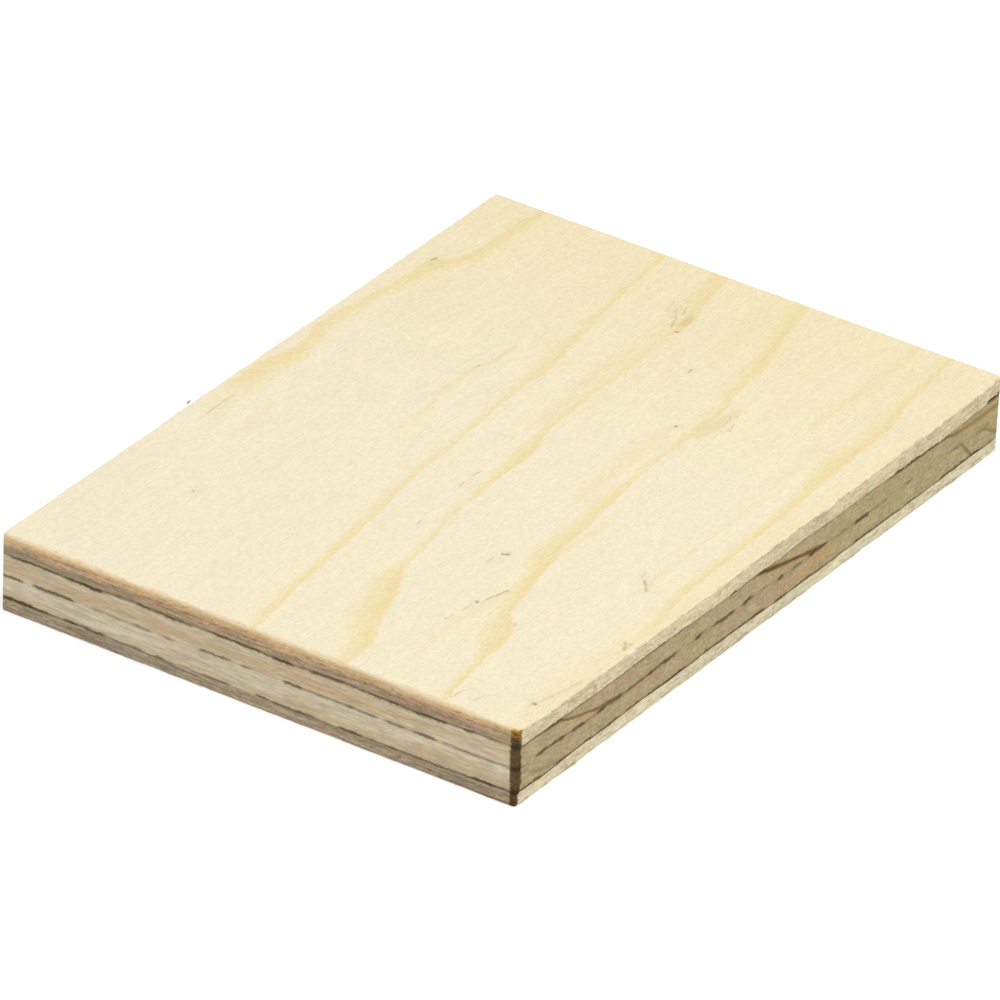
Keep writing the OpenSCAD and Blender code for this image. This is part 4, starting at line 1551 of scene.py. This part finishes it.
def tear_fibres(name, paths, material, seed, **values):
    """Sets torn fibres along paths of points and outward directions, as a mesh that rides with the sheet."""
    lines = bpy.data.meshes.new(name + "_paths")
    points = np.vstack([path for path, _ in paths]) * MM
    outward = np.vstack([out for _, out in paths])
    starts = np.cumsum([0] + [len(path) for path, _ in paths])
    edges = [(i, i + 1) for low, high in zip(starts, starts[1:]) for i in range(low, high - 1)]
    lines.from_pydata(points, edges, [])
    keep_vectors(lines, "outward", outward)
    piece = bpy.data.objects.new(name, lines)
    bpy.context.scene.collection.objects.link(piece)
    tree = bpy.data.node_groups.get("torn_fibres") or torn_fibre_tree()
    modifier = piece.modifiers.new("fibres", "NODES")
    modifier.node_group = tree
    sockets = {item.name: item.identifier for item in tree.interface.items_tree if item.in_out == "INPUT"}
    for label, value in {"Material": material, "Seed": seed, **values}.items():
        modifier[sockets[label]] = value
    shaped = piece.evaluated_get(bpy.context.evaluated_depsgraph_get())
    mesh = bpy.data.meshes.new_from_object(shaped)
    piece.modifiers.remove(modifier)
    piece.data = mesh
    bpy.data.meshes.remove(lines)
    if not mesh.polygons:
        raise RuntimeError(f"{name} came out empty")
    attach(piece, BODY)


def edge_path(walk, edge, out, height, sizes):
    """Points along one edge of a walk, out at the wall and at a height, with their outward directions."""
    on = (walk.edges == edge) & (walk.clearance > FIBRE_CLEARANCE)
    flat = walk.points[on] + walk.normals[on] * (out[on] - FIBRE_ROOT)[:, None]
    points = np.column_stack((flat, np.broadcast_to(height, len(walk))[on]))
    lean_out(points, sizes)
    return points, np.column_stack((walk.normals[on], np.zeros(on.sum())))


def settings():
    """The three groups of settings."""
    scene = bpy.context.scene
    return scene.plywood_sizes, scene.plywood_colours, scene.plywood_studio


class PLYWOOD_OT_lay_face(bpy.types.Operator):
    """Lay the sanded face veneer, with its checks, pits and eased edges"""

    bl_idname = "plywood.lay_face"
    bl_label = "Lay Face Veneer"

    def execute(self, context):
        sizes, colours, _ = settings()
        low, high = (corner[2] for corner in box_mm("face_veneer"))
        cut = outer_cut_wood(
            "face_cut_wood", colours, colours.face_cut_top, colours.face_cut_low,
            low + 1.0, low + 2.2, high, FACE_RINGS,
        )
        side = outer_side_wood("face_side_wood", colours, colours.face_side)
        make_veneer("face", (sanded_face_wood(colours), side, cut, glue_film(colours)), sizes)
        return {"FINISHED"}


class PLYWOOD_OT_lay_core(bpy.types.Operator):
    """Lay the upper core veneer and the two strips of the lower core"""

    bl_idname = "plywood.lay_core"
    bl_label = "Lay Core Veneers"

    def execute(self, context):
        sizes, colours, _ = settings()
        film = glue_film(colours)
        upper = (
            film,
            core_cut_wood("upper_core_cut_wood", colours, UPPER_CORE_RINGS, UPPER_CORE_GLOW, UPPER_CORE_GAP_SHADE),
            core_long_wood("upper_core_long_wood", colours, colours.upper_core_long, UPPER_CORE_STREAKS),
        )
        lower = (
            film,
            core_cut_wood("lower_core_cut_wood", colours, LOWER_CORE_RINGS, LOWER_CORE_GLOW, joint=True),
            core_long_wood("lower_core_long_wood", colours, colours.lower_core_long, LOWER_CORE_STREAKS),
        )
        make_veneer("upper_core", upper, sizes)
        make_veneer("lower_core", lower, sizes)
        make_veneer("end_strip", lower, sizes)
        return {"FINISHED"}


class PLYWOOD_OT_lay_back(bpy.types.Operator):
    """Lay the back veneer, with its eased lower edges"""

    bl_idname = "plywood.lay_back"
    bl_label = "Lay Back Veneer"

    def execute(self, context):
        sizes, colours, _ = settings()
        low, high = (corner[2] for corner in box_mm("back_veneer"))
        cut = outer_cut_wood(
            "back_cut_wood", colours, colours.back_cut, colours.back_cut, low, high, rings=BACK_RINGS
        )
        side = outer_side_wood("back_side_wood", colours, colours.back_side)
        make_veneer("back", (glue_film(colours), side, cut, back_wood(colours)), sizes)
        return {"FINISHED"}


class PLYWOOD_OT_tear_fibres(bpy.types.Operator):
    """Raise torn fibres along the long edges of the face and back, and the splinter"""

    bl_idname = "plywood.tear_fibres"
    bl_label = "Tear Fibres"

    def execute(self, context):
        sizes, colours, _ = settings()
        material = torn_fibre_wood(colours)
        walk = Walk(sheet_corners(sizes.corner_bevel / MM), sizes.edge_step / MM)
        face_out = stand_out(walk, VENEERS["face"], sizes)
        back_out = stand_out(walk, VENEERS["back"], sizes)
        under_face = glue_rise("upper", walk, sizes.seed)
        over_back = glue_rise("lower", walk, sizes.seed)
        slivers = []
        for edge in RUNS_LONG:
            for rise in (0.15, 0.4, 1.6):
                slivers.append(edge_path(walk, edge, face_out, under_face + rise, sizes))
            for share in (0.45, 0.8):
                slivers.append(edge_path(walk, edge, back_out, over_back * share, sizes))
        tear_fibres(
            "edge_slivers", slivers, material, sizes.seed,
            Spacing=sizes.fibre_spacing, Length=sizes.fibre_length, Width=sizes.fibre_width,
            Along=1.0, Out=0.16, Lift=0.1, Jitter=0.15 * MM,
        )
        # A splinter has sprung from the far long edge of the face; the dark piece at its tip is a painted
        # shadow of the gap behind it
        for name, start, end, width, wood in (
            ("splinter", 92.9, 98.5, 0.18, material),
            ("splinter_tip", 92.1, 93.1, 0.36, splinter_shadow_wood(colours)),
        ):
            on = (walk.edges == FAR_LONG) & (walk.places > start) & (walk.places < end)
            away = np.interp(walk.places[on], *np.transpose(SPLINTER_BEND))[:, None]
            flat = walk.points[on] + walk.normals[on] * away
            rim = np.column_stack((flat, np.full(on.sum(), SHEET_HIGH[2] - SPLINTER_DROP)))
            outward = np.column_stack((walk.normals[on], np.zeros(on.sum())))
            tear_fibres(
                name, [(rim, outward)], wood, sizes.seed,
                Spacing=0.4 * MM, Length=1.3 * MM, Width=width * MM,
                Along=1.0, Out=0.05, Lift=0.05, Jitter=0.05 * MM,
            )
        return {"FINISHED"}


class PLYWOOD_OT_set_stage(bpy.types.Operator):
    """Set the floor, the lamp, the even light and the camera"""

    bl_idname = "plywood.set_stage"
    bl_label = "Set Stage"

    def execute(self, context):
        studio = settings()[2]
        lay_floor(studio)
        hang_lamp(studio)
        light_sky(studio)
        place_camera(studio)
        context.scene.view_settings.view_transform = "Standard"
        return {"FINISHED"}


def lay_floor(studio):
    """A pale floor just under the sheet, white to the camera."""
    half = studio.floor_size / 2
    mesh = bpy.data.meshes.new("floor")
    corners = ((-half, -half, 0), (half, -half, 0), (half, half, 0), (-half, half, 0))
    mesh.from_pydata(corners, [], [(0, 1, 2, 3)])
    floor = bpy.data.objects.new("floor", mesh)
    floor.location.z = CAD_BOX[0].z - FLOOR_GAP
    bpy.context.scene.collection.objects.link(floor)
    material = bpy.data.materials.new("floor_paper")
    material.use_nodes = True
    bench = Bench(material.node_tree)
    shader = material.node_tree.nodes["Principled BSDF"]
    seen = seen_directly(bench)
    bench.feed(shader.inputs["Base Color"], bench.blend(seen, PAPER, WHITE))
    bench.feed(shader.inputs["Emission Strength"], bench.math("MULTIPLY", seen, studio.floor_glow))
    shader.inputs["Emission Color"].default_value = WHITE
    shader.inputs["Roughness"].default_value = 0.9
    shader.inputs["Specular IOR Level"].default_value = 0.0
    mesh.materials.append(material)


def seen_directly(bench):
    """1 for what the camera sees, also in a reflection or through glass."""
    path = bench.add("ShaderNodeLightPath").outputs
    other = bench.math("MAXIMUM", path["Is Glossy Ray"], path["Is Transmission Ray"])
    return bench.math("MAXIMUM", path["Is Camera Ray"], other)


def light_sky(studio):
    """Even light from all round, white to the camera."""
    world = bpy.data.worlds.new("studio")
    world.use_nodes = True
    bench = Bench(world.node_tree)
    background = world.node_tree.nodes["Background"]
    background.inputs["Color"].default_value = WHITE
    strength = bench.math("MULTIPLY_ADD", seen_directly(bench), 1.0 - studio.sky, studio.sky)
    bench.feed(background.inputs["Strength"], strength)
    bpy.context.scene.world = world


def hang_lamp(studio):
    """One large soft box overhead, a little towards the near long edge."""
    lamp = bpy.data.lights.new("soft_box", "AREA")
    lamp.shape = "SQUARE"
    lamp.size = studio.key_size
    lamp.energy = studio.key_power
    box = bpy.data.objects.new("soft_box", lamp)
    place = Vector(LAMP_PLACE)
    box.matrix_world = Matrix.Translation(place) @ (-place).to_track_quat("-Z", "Y").to_matrix().to_4x4()
    bpy.context.scene.collection.objects.link(box)


def place_camera(studio):
    """A long lens that looks down on the corner between the near end and the near long edge."""
    turn, rise, roll = (math.radians(a) for a in (studio.azimuth, studio.elevation, studio.roll))
    back = Vector((math.sin(turn) * math.cos(rise), -math.cos(turn) * math.cos(rise), math.sin(rise)))
    level = Vector((-back.y, back.x, 0)).normalized()
    upright = back.cross(level)
    right = level * math.cos(roll) + upright * math.sin(roll)
    up = upright * math.cos(roll) - level * math.sin(roll)
    middle = (CAD_BOX[0] + CAD_BOX[1]) / 2
    lens = bpy.data.cameras.new("camera")
    lens.lens = studio.lens
    lens.clip_end = 3 * studio.distance + studio.floor_size
    camera = bpy.data.objects.new("camera", lens)
    place = middle + back * studio.distance + right * studio.aim_right + up * studio.aim_up
    camera.matrix_world = Matrix.Translation(place) @ Matrix((right, up, back)).transposed().to_4x4()
    bpy.context.scene.collection.objects.link(camera)
    bpy.context.scene.camera = camera


class PLYWOOD_PT_panel(bpy.types.Panel):
    """Lists what makes the sheet, and its settings"""

    bl_idname = "PLYWOOD_PT_panel"
    bl_label = "Plywood Sheet"
    bl_space_type = "VIEW_3D"
    bl_region_type = "UI"
    bl_category = "Plywood"

    def draw(self, context):
        for operator in OPERATORS:
            self.layout.operator(operator.bl_idname)
        for group_of_settings in settings():
            for key in group_of_settings.__annotations__:
                self.layout.prop(group_of_settings, key)


OPERATORS = (
    PLYWOOD_OT_lay_face,
    PLYWOOD_OT_lay_core,
    PLYWOOD_OT_lay_back,
    PLYWOOD_OT_tear_fibres,
    PLYWOOD_OT_set_stage,
)
CLASSES = (SheetSizes, SheetColours, StudioSettings, *OPERATORS, PLYWOOD_PT_panel)


def register():
    """Registers the classes and the scene's settings."""
    for cls in CLASSES:
        bpy.utils.register_class(cls)
    bpy.types.Scene.plywood_sizes = PointerProperty(type=SheetSizes)
    bpy.types.Scene.plywood_colours = PointerProperty(type=SheetColours)
    bpy.types.Scene.plywood_studio = PointerProperty(type=StudioSettings)


def unregister():
    """Takes the settings and the classes away again."""
    del bpy.types.Scene.plywood_studio
    del bpy.types.Scene.plywood_colours
    del bpy.types.Scene.plywood_sizes
    for cls in reversed(CLASSES):
        bpy.utils.unregister_class(cls)


def main():
    """Registers the add-on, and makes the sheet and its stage."""
    register()
    bpy.ops.plywood.lay_face()
    bpy.ops.plywood.lay_core()
    bpy.ops.plywood.lay_back()
    bpy.ops.plywood.tear_fibres()
    bpy.ops.plywood.set_stage()


if __name__ == "__main__":
    main()
